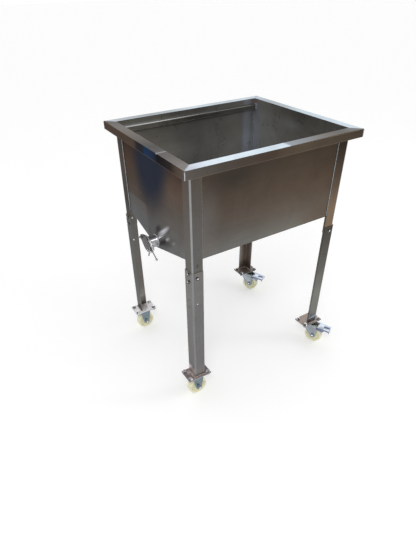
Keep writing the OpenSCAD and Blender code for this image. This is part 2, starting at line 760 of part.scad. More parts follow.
module gate_gasket() color(silicone) at_gate() translate([0, 0, pipe_out - gasket_t])
  ring(pipe_r + weld_gap + gasket_w, pipe_r + weld_gap, gasket_t);

// The slot at the free end is cut along the flap's own swing, and lifts off the stud
module gate_flap() color(steel) at_gate() difference() {
  union() {
    translate([0, 0, flap_z]) gate_blank(flap_t);
    translate([-handle_bend, -handle_from, flap_z + handle_d / 2]) {
      rotate([0, 0, -handle_turn]) rotate_extrude(angle = handle_turn)
        translate([handle_bend, 0]) circle(d = handle_d);
      rotate([0, 0, -handle_turn]) translate([handle_bend, 0, 0]) sphere(d = 2 * handle_d);
    }
  }
  translate([0, ear_at, flap_z - cut])
    cylinder(d = gate_bolt_d + 2 * run_gap, h = flap_t + 2 * cut);
  translate([0, ear_at, flap_z - cut]) linear_extrude(flap_t + 2 * cut) {
    translate([0, -2 * ear_at]) circle(gate_bolt_r + loose_gap);
    intersection() {
      difference() {
        circle(2 * ear_at + gate_bolt_r + loose_gap, $fn = 160);
        circle(2 * ear_at - gate_bolt_r - loose_gap, $fn = 160);
      }
      translate([-2 * ear_r, -2 * ear_at - ear_r]) square([2 * ear_r, 2 * ear_r]);
    }
  }
}

// Pivot bolt with its head behind the flange and a domed nut outside the flap
module gate_pivot() color(zinc) at_gate() translate([0, ear_at, 0]) {
  translate([0, 0, pipe_out - flange_t])
    hex_bolt(gate_bolt_d, gate_af, gate_head_h, flange_t + face_gap + flap_t + dome_hex_h);
  translate([0, 0, washer_z + face_gap]) {
    cylinder(d = gate_af * hex_round, h = dome_hex_h, $fn = 6);
    translate([0, 0, dome_hex_h]) sphere(r = dome_r);
  }
}

module gate_stud() color(zinc) at_gate() translate([0, -ear_at, pipe_out - flange_t])
  hex_bolt(gate_bolt_d, gate_af, gate_head_h, stud_end - pipe_out + flange_t);

module clamp_washer() color(zinc) at_gate() translate([0, -ear_at, washer_z])
  ring(washer_r, gate_bolt_r + run_gap, washer_t);

module wing_nut() color(zinc) at_gate() translate([0, -ear_at, wing_z]) difference() {
  union() {
    cylinder(r1 = washer_r - 0.5, r2 = washer_r - 2, h = wing_hub_h);
    for (turn = [0, 180]) rotate([0, 0, turn + 35]) rotate([90, 0, 0])
      linear_extrude(2.6, center = true) {
        polygon([[gate_bolt_r + 1, 1], [gate_bolt_r + 1, wing_hub_h - 0.5],
          [wing_span / 2 - 5.5, wing_h - 0.5], [wing_span / 2 - 1, wing_h - 6.5]]);
        translate([wing_span / 2 - wing_tip_r, wing_h - wing_tip_r]) circle(wing_tip_r);
      }
  }
  translate([0, 0, -cut]) cylinder(r = gate_bolt_r + run_gap, h = wing_hub_h + 8);
}

front_wall();
rear_wall();
outlet_wall();
end_wall();
trough_bottom();
rim_front();
rim_rear();
rim_left();
rim_right();
rail_front();
rail_rear();
strainer();
strainer_feet();
strainer_handles();
upper_leg_front_left();
upper_leg_rear_left();
upper_leg_front_right();
upper_leg_rear_right();
lower_leg_front_left();
lower_leg_rear_left();
lower_leg_front_right();
lower_leg_rear_right();
leg_plate_front_left();
leg_plate_rear_left();
leg_plate_front_right();
leg_plate_rear_right();
leg_fasteners();
castor_fasteners();
fixed_fork_front_left();
fixed_fork_rear_left();
swivel_plate_front_right();
swivel_plate_rear_right();
swivel_kingpins();
swivel_balls();
swivel_fork_front_right();
swivel_fork_rear_right();
wheel_front_left();
wheel_rear_left();
wheel_front_right();
wheel_rear_right();
sleeve_front_left();
sleeve_rear_left();
sleeve_front_right();
sleeve_rear_right();
axle_front_left();
axle_rear_left();
axle_front_right();
axle_rear_right();
brake_pedal_front_right();
brake_pedal_rear_right();
brake_pin_front_right();
brake_pin_rear_right();
outlet_pipe();
gate_flange();
gate_gasket();
gate_flap();
gate_pivot();
gate_stud();
clamp_washer();
wing_nut();
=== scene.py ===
import math

import bpy
from mathutils import Matrix, Vector


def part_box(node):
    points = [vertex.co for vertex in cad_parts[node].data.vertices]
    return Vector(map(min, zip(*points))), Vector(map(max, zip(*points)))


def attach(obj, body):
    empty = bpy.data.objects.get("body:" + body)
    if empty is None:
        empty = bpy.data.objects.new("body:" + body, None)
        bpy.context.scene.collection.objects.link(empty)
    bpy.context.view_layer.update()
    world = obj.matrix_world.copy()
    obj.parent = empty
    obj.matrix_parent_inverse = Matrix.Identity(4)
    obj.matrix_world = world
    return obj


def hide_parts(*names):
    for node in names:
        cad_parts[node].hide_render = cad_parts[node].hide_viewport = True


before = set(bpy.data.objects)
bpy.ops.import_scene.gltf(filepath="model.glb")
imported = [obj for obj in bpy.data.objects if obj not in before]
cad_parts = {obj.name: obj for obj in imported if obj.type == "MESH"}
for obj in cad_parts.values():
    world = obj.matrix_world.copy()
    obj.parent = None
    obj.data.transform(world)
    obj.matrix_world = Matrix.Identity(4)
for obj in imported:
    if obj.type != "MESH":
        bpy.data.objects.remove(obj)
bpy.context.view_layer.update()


# Camera. It stands off the outlet corner, a little above the rim, and looks down across the tank.
eye = Vector((-0.8209, -1.1427, 1.2912))
turn, fall, lean = math.radians(31.378), math.radians(36.668), math.radians(-0.825)
ahead = Vector((math.sin(turn) * math.cos(fall), math.cos(turn) * math.cos(fall), -math.sin(fall)))
level = Vector((math.cos(turn), -math.sin(turn), 0))
raised = level.cross(ahead)
lens = bpy.data.cameras.new("camera")
lens.lens = 27.43
lens.shift_x, lens.shift_y = 0.0095, 0.0216
camera = bpy.data.objects.new("camera", lens)
camera.matrix_world = Matrix((
    level * math.cos(lean) + raised * math.sin(lean),
    raised * math.cos(lean) - level * math.sin(lean),
    -ahead,
)).transposed().to_4x4()
camera.location = eye
bpy.context.scene.collection.objects.link(camera)
bpy.context.scene.camera = camera
bpy.context.scene.view_settings.view_transform = "Standard"


# Studio. A pale floor that keeps the shadow, a white surround that the bare steel mirrors,
# and two broad soft lamps for the sheen on bolts, rods and folds.
def feed(finish, kept, inputs):
    """Sets a node's inputs: numbers and colours as they are, and links to the sockets that feed the rest."""
    for key, value in inputs.items():
        if isinstance(value, bpy.types.NodeSocket):
            finish.node_tree.links.new(value, kept.inputs[key])
        else:
            kept.inputs[key].default_value = value


def node(finish, kind, inputs=(), **settings):
    """Adds a node to a finish."""
    made = finish.node_tree.nodes.new("ShaderNode" + kind)
    for key, value in settings.items():
        setattr(made, key, value)
    feed(finish, made, dict(inputs))
    return made


def flecks(finish, place, scale, detail=2.0, **more):
    """Uneven patches, as a number from 0 to 1."""
    return node(finish, "TexNoise", {"Vector": place, "Scale": scale, "Detail": detail, **more}).outputs["Fac"]


def reckoned(finish, how, *numbers):
    """A sum that is done afresh at every spot of a surface."""
    return node(finish, "Math", dict(enumerate(numbers)), operation=how).outputs[0]


def either(finish, share, before, beyond):
    """One number where the share is 0 and another where it is 1."""
    return node(finish, "MapRange", {"Value": share, "To Min": before, "To Max": beyond}).outputs["Result"]


def seen_or_mirrored(finish):
    """1 for what the camera sees straight, in metal or through glass, and 0 for light on dull surfaces."""
    rays = node(finish, "LightPath").outputs
    both = reckoned(finish, "MAXIMUM", rays["Is Camera Ray"], rays["Is Glossy Ray"])
    return reckoned(finish, "MAXIMUM", both, rays["Is Transmission Ray"])


surround = bpy.data.worlds.new("white surround")
bpy.context.scene.world = surround
surround.use_nodes = True
level_of_light = either(surround, seen_or_mirrored(surround), 0.84, 1.0)
feed(surround, surround.node_tree.nodes["Background"], {"Color": (1, 1, 1, 1), "Strength": level_of_light})

for name, spot, aim, size, watts in (
        ("lamp left", (-1.3, -1.5, 2.6), (0, 0, 0.5), 0.8, 12),
        ("lamp right", (1.9, -1.2, 1.9), (0, 0, 0.5), 0.7, 6)):
    lamp = bpy.data.lights.new(name, "AREA")
    lamp.shape, lamp.size, lamp.energy = "DISK", size, watts
    holder = bpy.data.objects.new(name, lamp)
    holder.location = spot
    holder.rotation_euler = (Vector(aim) - Vector(spot)).to_track_quat("-Z", "Y").to_euler()
    bpy.context.scene.collection.objects.link(holder)

bpy.ops.mesh.primitive_plane_add(size=60, location=(0, 0, -0.0004))
floor = bpy.context.object
floor.name = "floor"
floor_paint = bpy.data.materials.new("pale floor")
floor_paint.use_nodes = True
floor_grit = flecks(floor_paint, node(floor_paint, "TexCoord").outputs["Object"], 3.0)
floor_lift = reckoned(floor_paint, "MULTIPLY", seen_or_mirrored(floor_paint), 0.24)
feed(floor_paint, floor_paint.node_tree.nodes["Principled BSDF"], {
    "Base Color": either(floor_paint, floor_grit, 0.85, 0.88), "Roughness": 0.8, "Specular IOR Level": 0.1,
    "Emission Color": (1, 1, 1, 1), "Emission Strength": floor_lift})
floor.data.materials.append(floor_paint)


# Tank sheets. Four walls and a folded bottom of 1.5 mm stainless sheet, cut and folded, then welded
# at the corners. The outside has painted reflections of its surroundings in soft bands, and the inside is duller.
def bare(name):
    """A new finish, with the place on the part as a point and as its three distances."""
    finish = bpy.data.materials.new(name)
    finish.use_nodes = True
    place = node(finish, "TexCoord").outputs["Object"]
    return finish, place, node(finish, "SeparateXYZ", {0: place}).outputs


def tone(red, green, blue):
    """A colour as the eye reads it, 0 to 255, as a shader takes it."""
    return tuple(((c / 255 + 0.055) / 1.055) ** 2.4 for c in (red, green, blue)) + (1,)


def scaled(finish, number, source, target=(0, 1), how="LINEAR"):
    """Carries a number over from one range to another, and holds it at the ends."""
    ends = {"From Min": source[0], "From Max": source[1], "To Min": target[0], "To Max": target[1]}
    return node(finish, "MapRange", {"Value": number, **ends}, interpolation_type=how).outputs["Result"]


def bands(finish, along, *stops):
    """Tones that run into each other along one distance. A stop is metres and a colour."""
    first, last = stops[0][0], stops[-1][0]
    strip = node(finish, "ValToRGB", {"Fac": scaled(finish, along, (first, last))})
    marks = strip.color_ramp.elements
    marks[1].position = 1
    while len(marks) < len(stops):
        marks.new(0.5)
    for mark, (metres, colour) in zip(marks, stops):
        mark.position = (metres - first) / (last - first)
    for mark, (metres, colour) in zip(marks, stops):
        mark.color = tone(*colour)
    return strip.outputs["Color"]


def over(finish, share, under, above, how="MIX"):
    """Lays one tone over another."""
    return node(finish, "Mix", {0: share, 6: under, 7: above}, data_type="RGBA", blend_type=how).outputs[2]


def shaded(finish, colour, shade):
    """A tone dimmed by another one: white leaves it as it is."""
    return over(finish, 1.0, colour, shade, "MULTIPLY")


def past(finish, distance, metres, side="GREATER_THAN"):
    """1 beyond a plane and 0 before it, or the other way round."""
    return reckoned(finish, side, distance, metres)


def cloud(finish, place, under, centre, size, colour, strength=1.0, core=0.0, lean=0):
    """A soft-edged patch of another tone: a painted reflection, highlight or shade, a stain, or the tint that a
    weld's heat leaves.
    """
    away = node(finish, "VectorMath", {0: place, 1: centre}, operation="SUBTRACT").outputs[0]
    if lean:
        away = node(finish, "VectorRotate", {"Vector": away, "Angle": math.radians(-lean)},
                    rotation_type="X_AXIS").outputs[0]
    sized = node(finish, "VectorMath", {0: away, 1: [1 / s for s in size]}, operation="MULTIPLY").outputs[0]
    far = node(finish, "VectorMath", {0: sized}, operation="LENGTH").outputs["Value"]
    return over(finish, scaled(finish, far, (1, core), (0, strength), "SMOOTHSTEP"), under, tone(*colour))


def clouds(finish, place, under, *patches):
    """Several such patches, each laid over the ones before it."""
    for patch in patches:
        under = cloud(finish, place, under, *patch)
    return under


def facing(finish):
    """How far a face points towards X, Y and Z."""
    return node(finish, "SeparateXYZ", {0: node(finish, "NewGeometry").outputs["Normal"]}).outputs


def rolled(finish, place, colour, grain, rough=0.3, mottle=0.1, lines=0.07, metallic=1.0, edge=0.58):
    """Closes a bare metal finish: rolling lines along the grain, faint clouds, and uneven polish."""
    drawn = {"x": (5, 420, 420), "y": (420, 5, 420), "z": (420, 420, 5), "none": (160, 160, 160)}[grain]
    stretched = node(finish, "VectorMath", {0: place, 1: drawn}, operation="MULTIPLY").outputs[0]
    scratch = flecks(finish, stretched, 1.0, 4.0)
    smear = flecks(finish, place, 11.0, 5.0, Roughness=0.6, Distortion=0.8)
    fine = scaled(finish, scratch, (0.25, 0.75), (1 - lines, 1 + lines))
    broad = scaled(finish, smear, (0.3, 0.7), (1 - mottle, 1 + mottle))
    polish = scaled(finish, smear, (0.3, 0.7), (rough - 0.05, rough + 0.07))
    relief = node(finish, "Bump", {"Strength": 0.25, "Distance": 0.0002, "Height": scratch})
    feed(finish, finish.node_tree.nodes["Principled BSDF"], {
        "Base Color": shaded(finish, colour, reckoned(finish, "MULTIPLY", fine, broad)),
        "Metallic": metallic, "Roughness": polish,
        "Specular Tint": edge if isinstance(edge, bpy.types.NodeSocket) else (edge, edge, edge, 1),
        "Normal": relief.outputs["Normal"]})
    return finish


def coat(finish, *names):
    """Gives CAD nodes this finish."""
    for name in names:
        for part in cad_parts[name].material_slots:
            part.material = finish


def tank_sheet(name, finish, place, inside, outer, inner, grain, **polish):
    """Gives a sheet of the tank its finish: bare metal outside, and a duller one inside the tank."""
    metallic = either(finish, inside, 1.0, 0.45)
    coat(rolled(finish, place, over(finish, inside, outer, inner), grain, metallic=metallic, **polish), name)


# Half way through each wall's sheet, so that its two faces can differ.
mid_front, mid_rear, mid_outlet, mid_far = -0.2179, 0.2676, -0.2929, 0.2926
inner_tone = tone(160, 157, 152)

finish, place, axis = bare("front wall sheet")
# Painted reflections on the outside: darker towards the top, with painted shade along the wall and three painted
# patches of reflection.
colour = bands(finish, axis["Z"], (0.600, (116, 115, 111)), (0.660, (101, 95, 89)), (0.710, (94, 84, 76)),
               (0.760, (86, 75, 66)), (0.810, (77, 68, 60)), (0.873, (68, 60, 53)))
shade = bands(finish, axis["X"], (-0.292, (255, 255, 255)), (-0.235, (250, 250, 250)), (-0.190, (236, 238, 240)),
              (0.100, (250, 246, 240)), (0.292, (236, 226, 216)))
colour = clouds(finish, place, shaded(finish, colour, shade),
                ((-0.15, -0.219, 0.84), (0.10, 0.02, 0.07), (58, 52, 47), 0.7),
                ((-0.26, -0.219, 0.72), (0.09, 0.02, 0.14), (98, 95, 93), 0.8),
                ((0.23, -0.219, 0.62), (0.14, 0.02, 0.09), (96, 83, 71), 0.8))
tank_sheet("front_wall", finish, place, past(finish, axis["Y"], mid_front), colour, tone(160, 158, 154), "x")

finish, place, axis = bare("rear wall sheet")
# Painted reflections: outside darker towards the top; inside bluish near the far end, with painted shade towards the
# top.
colour = bands(finish, axis["Z"], (0.600, (112, 110, 106)), (0.700, (96, 88, 80)), (0.873, (72, 64, 58)))
inner = bands(finish, axis["X"], (-0.292, (164, 162, 155)), (-0.15, (158, 155, 147)), (-0.03, (132, 130, 127)),
              (0.03, (124, 123, 121)), (0.20, (152, 151, 147)), (0.232, (152, 152, 152)), (0.250, (176, 182, 194)),
              (0.270, (172, 178, 190)), (0.280, (154, 155, 156)), (0.292, (170, 174, 180)))
shade = bands(finish, axis["Z"], (0.755, (255, 255, 255)), (0.80, (226, 225, 223)), (0.862, (202, 201, 199)),
              (0.890, (190, 188, 185)))
inner = cloud(finish, place, shaded(finish, inner, shade), (0.284, 0.267, 0.888), (0.016, 0.02, 0.010),
              (150, 112, 100), 0.8)
tank_sheet("rear_wall", finish, place, past(finish, axis["Y"], mid_rear, "LESS_THAN"), colour, inner, "x",
           mottle=0.12)

finish, place, axis = bare("outlet wall sheet")
# Painted reflections: darker towards the top, painted shade towards the rear, and a large dark blue painted
# reflection above the outlet.
colour = bands(finish, axis["Z"], (0.532, (118, 118, 117)), (0.599, (120, 121, 120)), (0.659, (108, 104, 100)),
               (0.719, (99, 92, 86)), (0.779, (101, 87, 77)), (0.839, (82, 67, 59)), (0.873, (72, 58, 50)))
shade = bands(finish, axis["Y"], (-0.217, (255, 255, 255)), (-0.090, (246, 244, 244)), (-0.030, (226, 224, 226)),
              (0.030, (210, 210, 214)), (0.100, (212, 204, 200)), (0.267, (218, 200, 190)))
face_x = -0.2936
colour = cloud(finish, place, shaded(finish, colour, shade), (face_x, 0.022, 0.86), (0.03, 0.15, 0.24),
               (42, 47, 60), 1.0, 0.45, lean=18)
# A painted reflection: the paler corner below and behind the outlet, with a soft edge.
mirrored_wedge_top, mirrored_wedge_side, mirrored_wedge_bend, mirrored_wedge_edge = 0.674, 0.074, 0.03, 0.010
mirrored_wedge = reckoned(finish, "SMOOTH_MIN", reckoned(finish, "SUBTRACT", mirrored_wedge_top, axis["Z"]),
                 reckoned(finish, "SUBTRACT", axis["Y"], mirrored_wedge_side), mirrored_wedge_bend)
colour = over(finish, scaled(finish, mirrored_wedge, (0, mirrored_wedge_edge), how="SMOOTHSTEP"), colour, bands(
    finish, axis["Z"], (0.56, (107, 109, 112)), (0.62, (104, 104, 104)), (0.672, (97, 92, 88))))
colour = clouds(finish, place, colour,
                # A straw line from the heat, and the pipe's painted dark mirror image beside it
                ((face_x, 0.155, 0.702), (0.03, 0.075, 0.0025), (118, 90, 68), 0.8, 0.0, 5),
                ((face_x, 0.002, 0.616), (0.03, 0.040, 0.016), (56, 52, 54), 0.9, 0.0, -38),
                ((face_x, -0.040, 0.588), (0.03, 0.044, 0.014), (78, 74, 72), 0.8, 0.0, -38),
                # The pipe's bright mirror image, and two smaller gleams of the flange
                ((face_x, -0.030, 0.614), (0.03, 0.082, 0.013), (236, 238, 244), 1.0, 0.0, -40),
                ((face_x, -0.014, 0.601), (0.03, 0.050, 0.012), (255, 255, 255), 1.0, 0.0, -40),
                ((face_x, -0.062, 0.603), (0.03, 0.030, 0.009), (196, 190, 184), 0.9, 0.0, -38),
                ((face_x, -0.105, 0.609), (0.03, 0.018, 0.009), (160, 157, 154), 0.8, 0.0, -38))
tank_sheet("outlet_wall", finish, place, past(finish, axis["X"], mid_outlet), colour, inner_tone, "y", edge=0.5)

finish, place, axis = bare("far wall sheet")
# Painted reflections: outside darker towards the top; inside bluish near the rear, with painted shade towards the top
# and a paler painted patch high in the middle.
colour = bands(finish, axis["Z"], (0.532, (108, 107, 105)), (0.660, (98, 92, 86)), (0.873, (76, 68, 62)))
inner = bands(finish, axis["Y"], (-0.217, (140, 138, 135)), (-0.05, (124, 122, 119)), (0.05, (128, 127, 124)),
              (0.12, (148, 147, 144)), (0.22, (164, 165, 165)), (0.252, (170, 175, 184)), (0.267, (176, 182, 192)))
shade = bands(finish, axis["Z"], (0.78, (255, 255, 255)), (0.84, (232, 231, 229)), (0.890, (190, 188, 185)))
inner = clouds(finish, place, shaded(finish, inner, shade),
               ((0.292, 0.06, 0.85), (0.03, 0.10, 0.03), (158, 161, 162), 0.35),
               ((0.292, 0.250, 0.888), (0.02, 0.024, 0.010), (150, 124, 112), 0.7))
tank_sheet("end_wall", finish, place, past(finish, axis["X"], mid_far, "LESS_THAN"), colour, inner, "y",
           mottle=0.18)

finish, place, axis = bare("bottom sheet")
tank_sheet("trough_bottom", finish, place, past(finish, facing(finish)["Z"], 0.0), tone(98, 94, 90), inner_tone, "x",
           mottle=0.14)


# Weld beads. Runs of small overlapping ripples where two sheets meet, left as welded and a little
# bright.
def open_up():
    """Opens the piece at hand in edit mode, with all of it selected."""
    bpy.ops.object.mode_set(mode="EDIT")
    bpy.ops.mesh.select_all(action="SELECT")


def settle(name, finish, slot, body, *nodes, smooth=35):
    """Puts the modelled piece's place into its mesh, turns its faces out, and gives it finish and body."""
    piece = bpy.context.object
    piece.name = piece.data.name = name
    bpy.ops.object.transform_apply()
    open_up()
    bpy.ops.mesh.normals_make_consistent(inside=False)
    bpy.ops.object.mode_set(mode="OBJECT")
    bpy.ops.object.shade_smooth_by_angle(angle=math.radians(smooth))
    piece.data.materials.clear()
    piece.data.materials.append(finish)
    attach(piece, body)
    if nodes:
        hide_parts(*nodes)
    piece.select_set(False)
    return piece


def modify(kind, **settings):
    """Adds a modifier to the piece at hand and applies it."""
    change = bpy.context.object.modifiers.new(kind.lower(), kind)
    for key, value in settings.items():
        setattr(change, key, value)
    bpy.ops.object.modifier_apply(modifier=change.name)


def joined(pieces):
    """Makes one piece of several."""
    bpy.ops.object.select_all(action="DESELECT")
    for piece in pieces:
        piece.select_set(True)
    bpy.context.view_layer.objects.active = pieces[0]
    if len(pieces) > 1:
        bpy.ops.object.join()
    return bpy.context.object


ripple_waver = bpy.data.textures.new("ripple waver", "CLOUDS")
ripple_waver.noise_scale = 0.004


def bead(start, end, wide, flat=1.0):
    """One run of weld ripples, from start to end. Flat squashes it towards a level face that it lies on."""
    start, end = Vector(start), Vector(end)
    run, pitch = (end - start).length, wide * 0.5
    bpy.ops.mesh.primitive_cylinder_add(vertices=10, radius=wide * 0.40, depth=pitch, end_fill_type="NOTHING",
                                        rotation=(0, math.pi / 2, 0), location=(pitch / 2, 0, 0))
    bpy.ops.object.transform_apply()
    open_up()
    bpy.ops.mesh.bisect(plane_co=(pitch / 2, 0, 0), plane_no=(1, 0, 0))
    bpy.ops.transform.resize(value=(1, 1.25, 1.25), center_override=(0, 0, 0))
    bpy.ops.object.mode_set(mode="OBJECT")
    modify("ARRAY", count=max(2, round(run / pitch)), relative_offset_displace=(1, 0, 0),
           use_merge_vertices=True, merge_threshold=0.00002)
    modify("DISPLACE", texture=ripple_waver, strength=wide * 0.22, mid_level=0.5)
    open_up()
    bpy.ops.mesh.fill_holes(sides=0)
    bpy.ops.transform.resize(value=(1, 1, flat), center_override=(0, 0, 0))
    bpy.ops.object.mode_set(mode="OBJECT")
    along = (end - start).normalized()
    side = Vector((0, 0, 1) if abs(along.z) < 0.9 else (1, 0, 0)).cross(along).normalized()
    bpy.context.object.matrix_world = Matrix.Translation(start) @ Matrix(
        (along, side, along.cross(side))).transposed().to_4x4()
    bpy.ops.object.transform_apply()
    return bpy.context.object


def weld_finish(name, dull, bright):
    """A weld bead's finish, from the dull of its scale to the bright of its ripples."""
    finish, place, axis = bare(name)
    colour = over(finish, flecks(finish, place, 180.0, 3.0), tone(*dull), tone(*bright))
    return rolled(finish, place, colour, "none", rough=0.26, mottle=0.14, lines=0.12, metallic=0.5, edge=0.7)


# The inner faces of the end walls and of the long walls, each with the way that it looks.
end_faces, side_faces = ((-0.2921, 1), (0.2919, -1)), ((-0.2172, 1), (0.2668, -1))
bottom_low, bottom_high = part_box("trough_bottom")
fold_y, mouth_z, wall_foot, corner_bead = (bottom_low.y + bottom_high.y) / 2, 0.896, 0.604, 0.0022
bend_in, fold_in, bend_out, fold_out = 0.6035, 0.5345, 0.6015, 0.5325
seams = []
for end_x, way_x in end_faces:
    for side_y, way_y in side_faces:
        in_x, in_y, out_x = end_x + 0.0006 * way_x, side_y + 0.0006 * way_y, end_x - 0.0008 * way_x
        seams.append(bead((in_x, in_y, wall_foot), (in_x, in_y, mouth_z), corner_bead))
        seams.append(bead((in_x, side_y + 0.001 * way_y, bend_in), (in_x, fold_y, fold_in), corner_bead))
        seams.append(bead((out_x, side_y - 0.0008 * way_y, bend_out), (out_x, fold_y, fold_out), corner_bead))
joined(seams)
settle("tank_corner_welds", weld_finish("ground weld", (92, 90, 88), (142, 142, 144)), "stainless_sheet", "tank")


# Rim. Four strips of the same sheet, each folded to a flat top and a turned-down skirt, mitred, and
# welded at the corners. A fifth joint crosses the strip over the outlet.
def rim_strip(name, top, skirt, grain, rough=0.26, top_edge=0.85):
    """A rim strip's finish: painted reflections, one run of tones on its top and another on its skirt."""
    finish, place, axis = bare(name)
    along = axis["X"] if grain == "x" else axis["Y"]
    on_top = past(finish, axis["Z"], 0.8983)
    colour = clouds(finish, place, over(finish, on_top, bands(finish, along, *skirt), bands(finish, along, *top)),
                    # The skirt's lower edge, and the ground band of the fifth joint
                    ((0, 0, 0.8735), (9, 9, 0.0012), (126, 112, 100), 0.45, 0.3),
                    ((-0.309, -0.092, 0.899), (0.04, 0.0062, 0.004), (162, 161, 163), 0.8, 0.5))
    return rolled(finish, place, colour, grain, rough=rough, lines=0.09, edge=either(finish, on_top, 0.5, top_edge))


# The tones are painted reflections: mostly pale and bluish on the tops, dark on the skirts, with a blue patch on the
# left skirt.
coat(rim_strip(
    "front rim strip",
    ((-0.325, (196, 202, 214)), (-0.25, (226, 238, 249)), (-0.08, (224, 239, 250)), (0.018, (216, 232, 244)),
     (0.030, (146, 154, 162)), (0.11, (124, 128, 132)), (0.18, (98, 90, 80)), (0.24, (64, 56, 48)),
     (0.30, (100, 102, 103)), (0.325, (140, 150, 160))),
    ((-0.325, (92, 87, 82)), (-0.22, (76, 70, 65)), (-0.05, (75, 64, 55)), (0.05, (84, 73, 61)),
     (0.20, (80, 70, 59)), (0.325, (74, 65, 56))), "x"), "rim_front")
coat(rim_strip(
    "left rim strip",
    ((-0.25, (150, 148, 148)), (-0.19, (132, 126, 122)), (-0.10, (110, 106, 106)), (-0.035, (90, 87, 86)),
     (0.06, (118, 112, 106)), (0.13, (130, 121, 112)), (0.20, (131, 127, 123)), (0.299, (102, 95, 90))),
    ((-0.25, (96, 84, 78)), (-0.205, (82, 68, 60)), (-0.175, (46, 42, 40)), (-0.10, (30, 29, 32)),
     (-0.075, (38, 48, 66)), (-0.02, (28, 54, 86)), (0.0, (40, 39, 44)), (0.035, (42, 40, 45)),
     (0.06, (82, 68, 58)), (0.299, (80, 65, 54))), "y", 0.24, 0.58), "rim_left")
coat(rim_strip(
    "rear rim strip",
    ((-0.325, (196, 204, 214)), (-0.16, (160, 168, 172)), (-0.07, (178, 190, 196)), (0.02, (214, 227, 238)),
     (0.12, (192, 204, 212)), (0.325, (208, 221, 232))),
    ((-0.325, (86, 80, 74)), (0.325, (84, 80, 76))), "x"), "rim_rear")
coat(rim_strip(
    "right rim strip",
    ((-0.25, (226, 240, 250)), (-0.09, (202, 217, 229)), (0.00, (210, 227, 238)), (0.10, (172, 187, 194)),
     (0.19, (164, 174, 184)), (0.299, (198, 211, 225))),
    ((-0.25, (82, 74, 66)), (0.299, (78, 72, 66))), "y"), "rim_right")

rim_low, rim_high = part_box("rim_front")[0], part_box("rim_rear")[1]
rim_wide, rim_top, skirt_foot = 0.033, rim_high.z - 0.0001, 0.874
mouth = [Vector((end_faces[i][0], side_faces[i][0], 0)) for i in (0, 1)]
mitres = []
for corner_x, inner_x in ((rim_low.x, mouth[0].x), (rim_high.x, mouth[1].x)):
    for corner_y, inner_y in ((rim_low.y, mouth[0].y), (rim_high.y, mouth[1].y)):
        into = Vector((inner_x - corner_x, inner_y - corner_y, 0)) / rim_wide
        mitres.append(bead(Vector((corner_x, corner_y, rim_top)) + into * 0.0018,
                           Vector((inner_x, inner_y, rim_top)) - into * 0.0018, 0.0042, 0.10))
        deep = into * (0.0004 if corner_y < 0 else 0.0020)
        mitres.append(bead(Vector((corner_x, corner_y, skirt_foot)) + deep,
                           Vector((corner_x, corner_y, 0.8972)) + deep, 0.0032))
mitres.append(bead((rim_low.x + 0.0015, -0.0955, rim_top), (mouth[0].x - 0.0015, -0.0885, rim_top), 0.0044, 0.05))
joined(mitres)
weld_metal = weld_finish("bright weld", (136, 138, 142), (204, 210, 218))
settle("rim_joint_welds", weld_metal, "stainless_sheet", "tank")


# Frame rails. Two folded channels inside the long walls, which carry the frames' lugs. Each is
# tacked to the wall along its lower edge and welded at its ends.
finish, place, axis = bare("rail strip")
# The ledge's and the face's tones along the rail are painted reflections.
ledge = bands(finish, axis["X"], (-0.24, (226, 234, 246)), (-0.14, (200, 205, 204)), (-0.04, (176, 175, 176)),
              (0.06, (146, 146, 146)), (0.16, (80, 78, 76)), (0.29, (88, 86, 86)))
face = bands(finish, axis["X"], (-0.18, (150, 146, 138)), (0.02, (92, 90, 88)), (0.29, (118, 118, 116)))
colour = over(finish, past(finish, axis["Z"], 0.8790), face, ledge)
for lip_y in (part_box("rail_front")[1].y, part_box("rail_rear")[0].y):
    # A painted highlight along the outlet half of each ledge's fold, and a paler line along each lip's lower edge.
    colour = clouds(finish, place, colour,
                    ((-0.14, lip_y, 0.8795), (0.28, 0.0024, 0.0018), (240, 244, 250), 0.9, 0.4),
                    ((0, lip_y, 0.8618), (9, 0.0024, 0.0026), (172, 170, 168), 0.9, 0.5))
coat(rolled(finish, place, colour, "x", rough=0.28, metallic=0.8), "rail_front", "rail_rear")

tack_first, tack_pitch, tack_run, tack_z = -0.2455, 0.098, 0.012, 0.8612
rail_deep, ledge_z, lip_foot = 0.012, 0.8797, 0.8622
tacks = []
for wall_y, way_y in side_faces:
    tack_y, lip_y = wall_y + 0.0005 * way_y, wall_y + rail_deep * way_y
    for step in range(6):
        tack_x = tack_first + step * tack_pitch
        tacks.append(bead((tack_x, tack_y, tack_z), (tack_x + tack_run, tack_y, tack_z), 0.0028))
    for end_x, way_x in end_faces:
        end_x += 0.0015 * way_x
        tacks.append(bead((end_x, wall_y + 0.001 * way_y, ledge_z), (end_x, lip_y, ledge_z), 0.0032))
        tacks.append(bead((end_x, lip_y, ledge_z - 0.0005), (end_x, lip_y, lip_foot), 0.0030))
joined(tacks)
settle("rail_welds", weld_metal, "stainless_sheet", "tank")


# Strainer. One slotted plate that lies low in the tank on two folded edge strips, with two bow
# handles of bent rod. It keeps the brushed face of the sheet it was punched from.
finish, place, axis = bare("strainer plate")
colour = over(finish, flecks(finish, place, 7.0), tone(160, 158, 154), tone(196, 195, 192))
coat(rolled(finish, place, colour, "x", rough=0.32, metallic=0.7), "strainer", "strainer_feet")
finish, place, axis = bare("strainer rod")
coat(rolled(finish, place, tone(196, 196, 194), "y", rough=0.2), "strainer_handles")


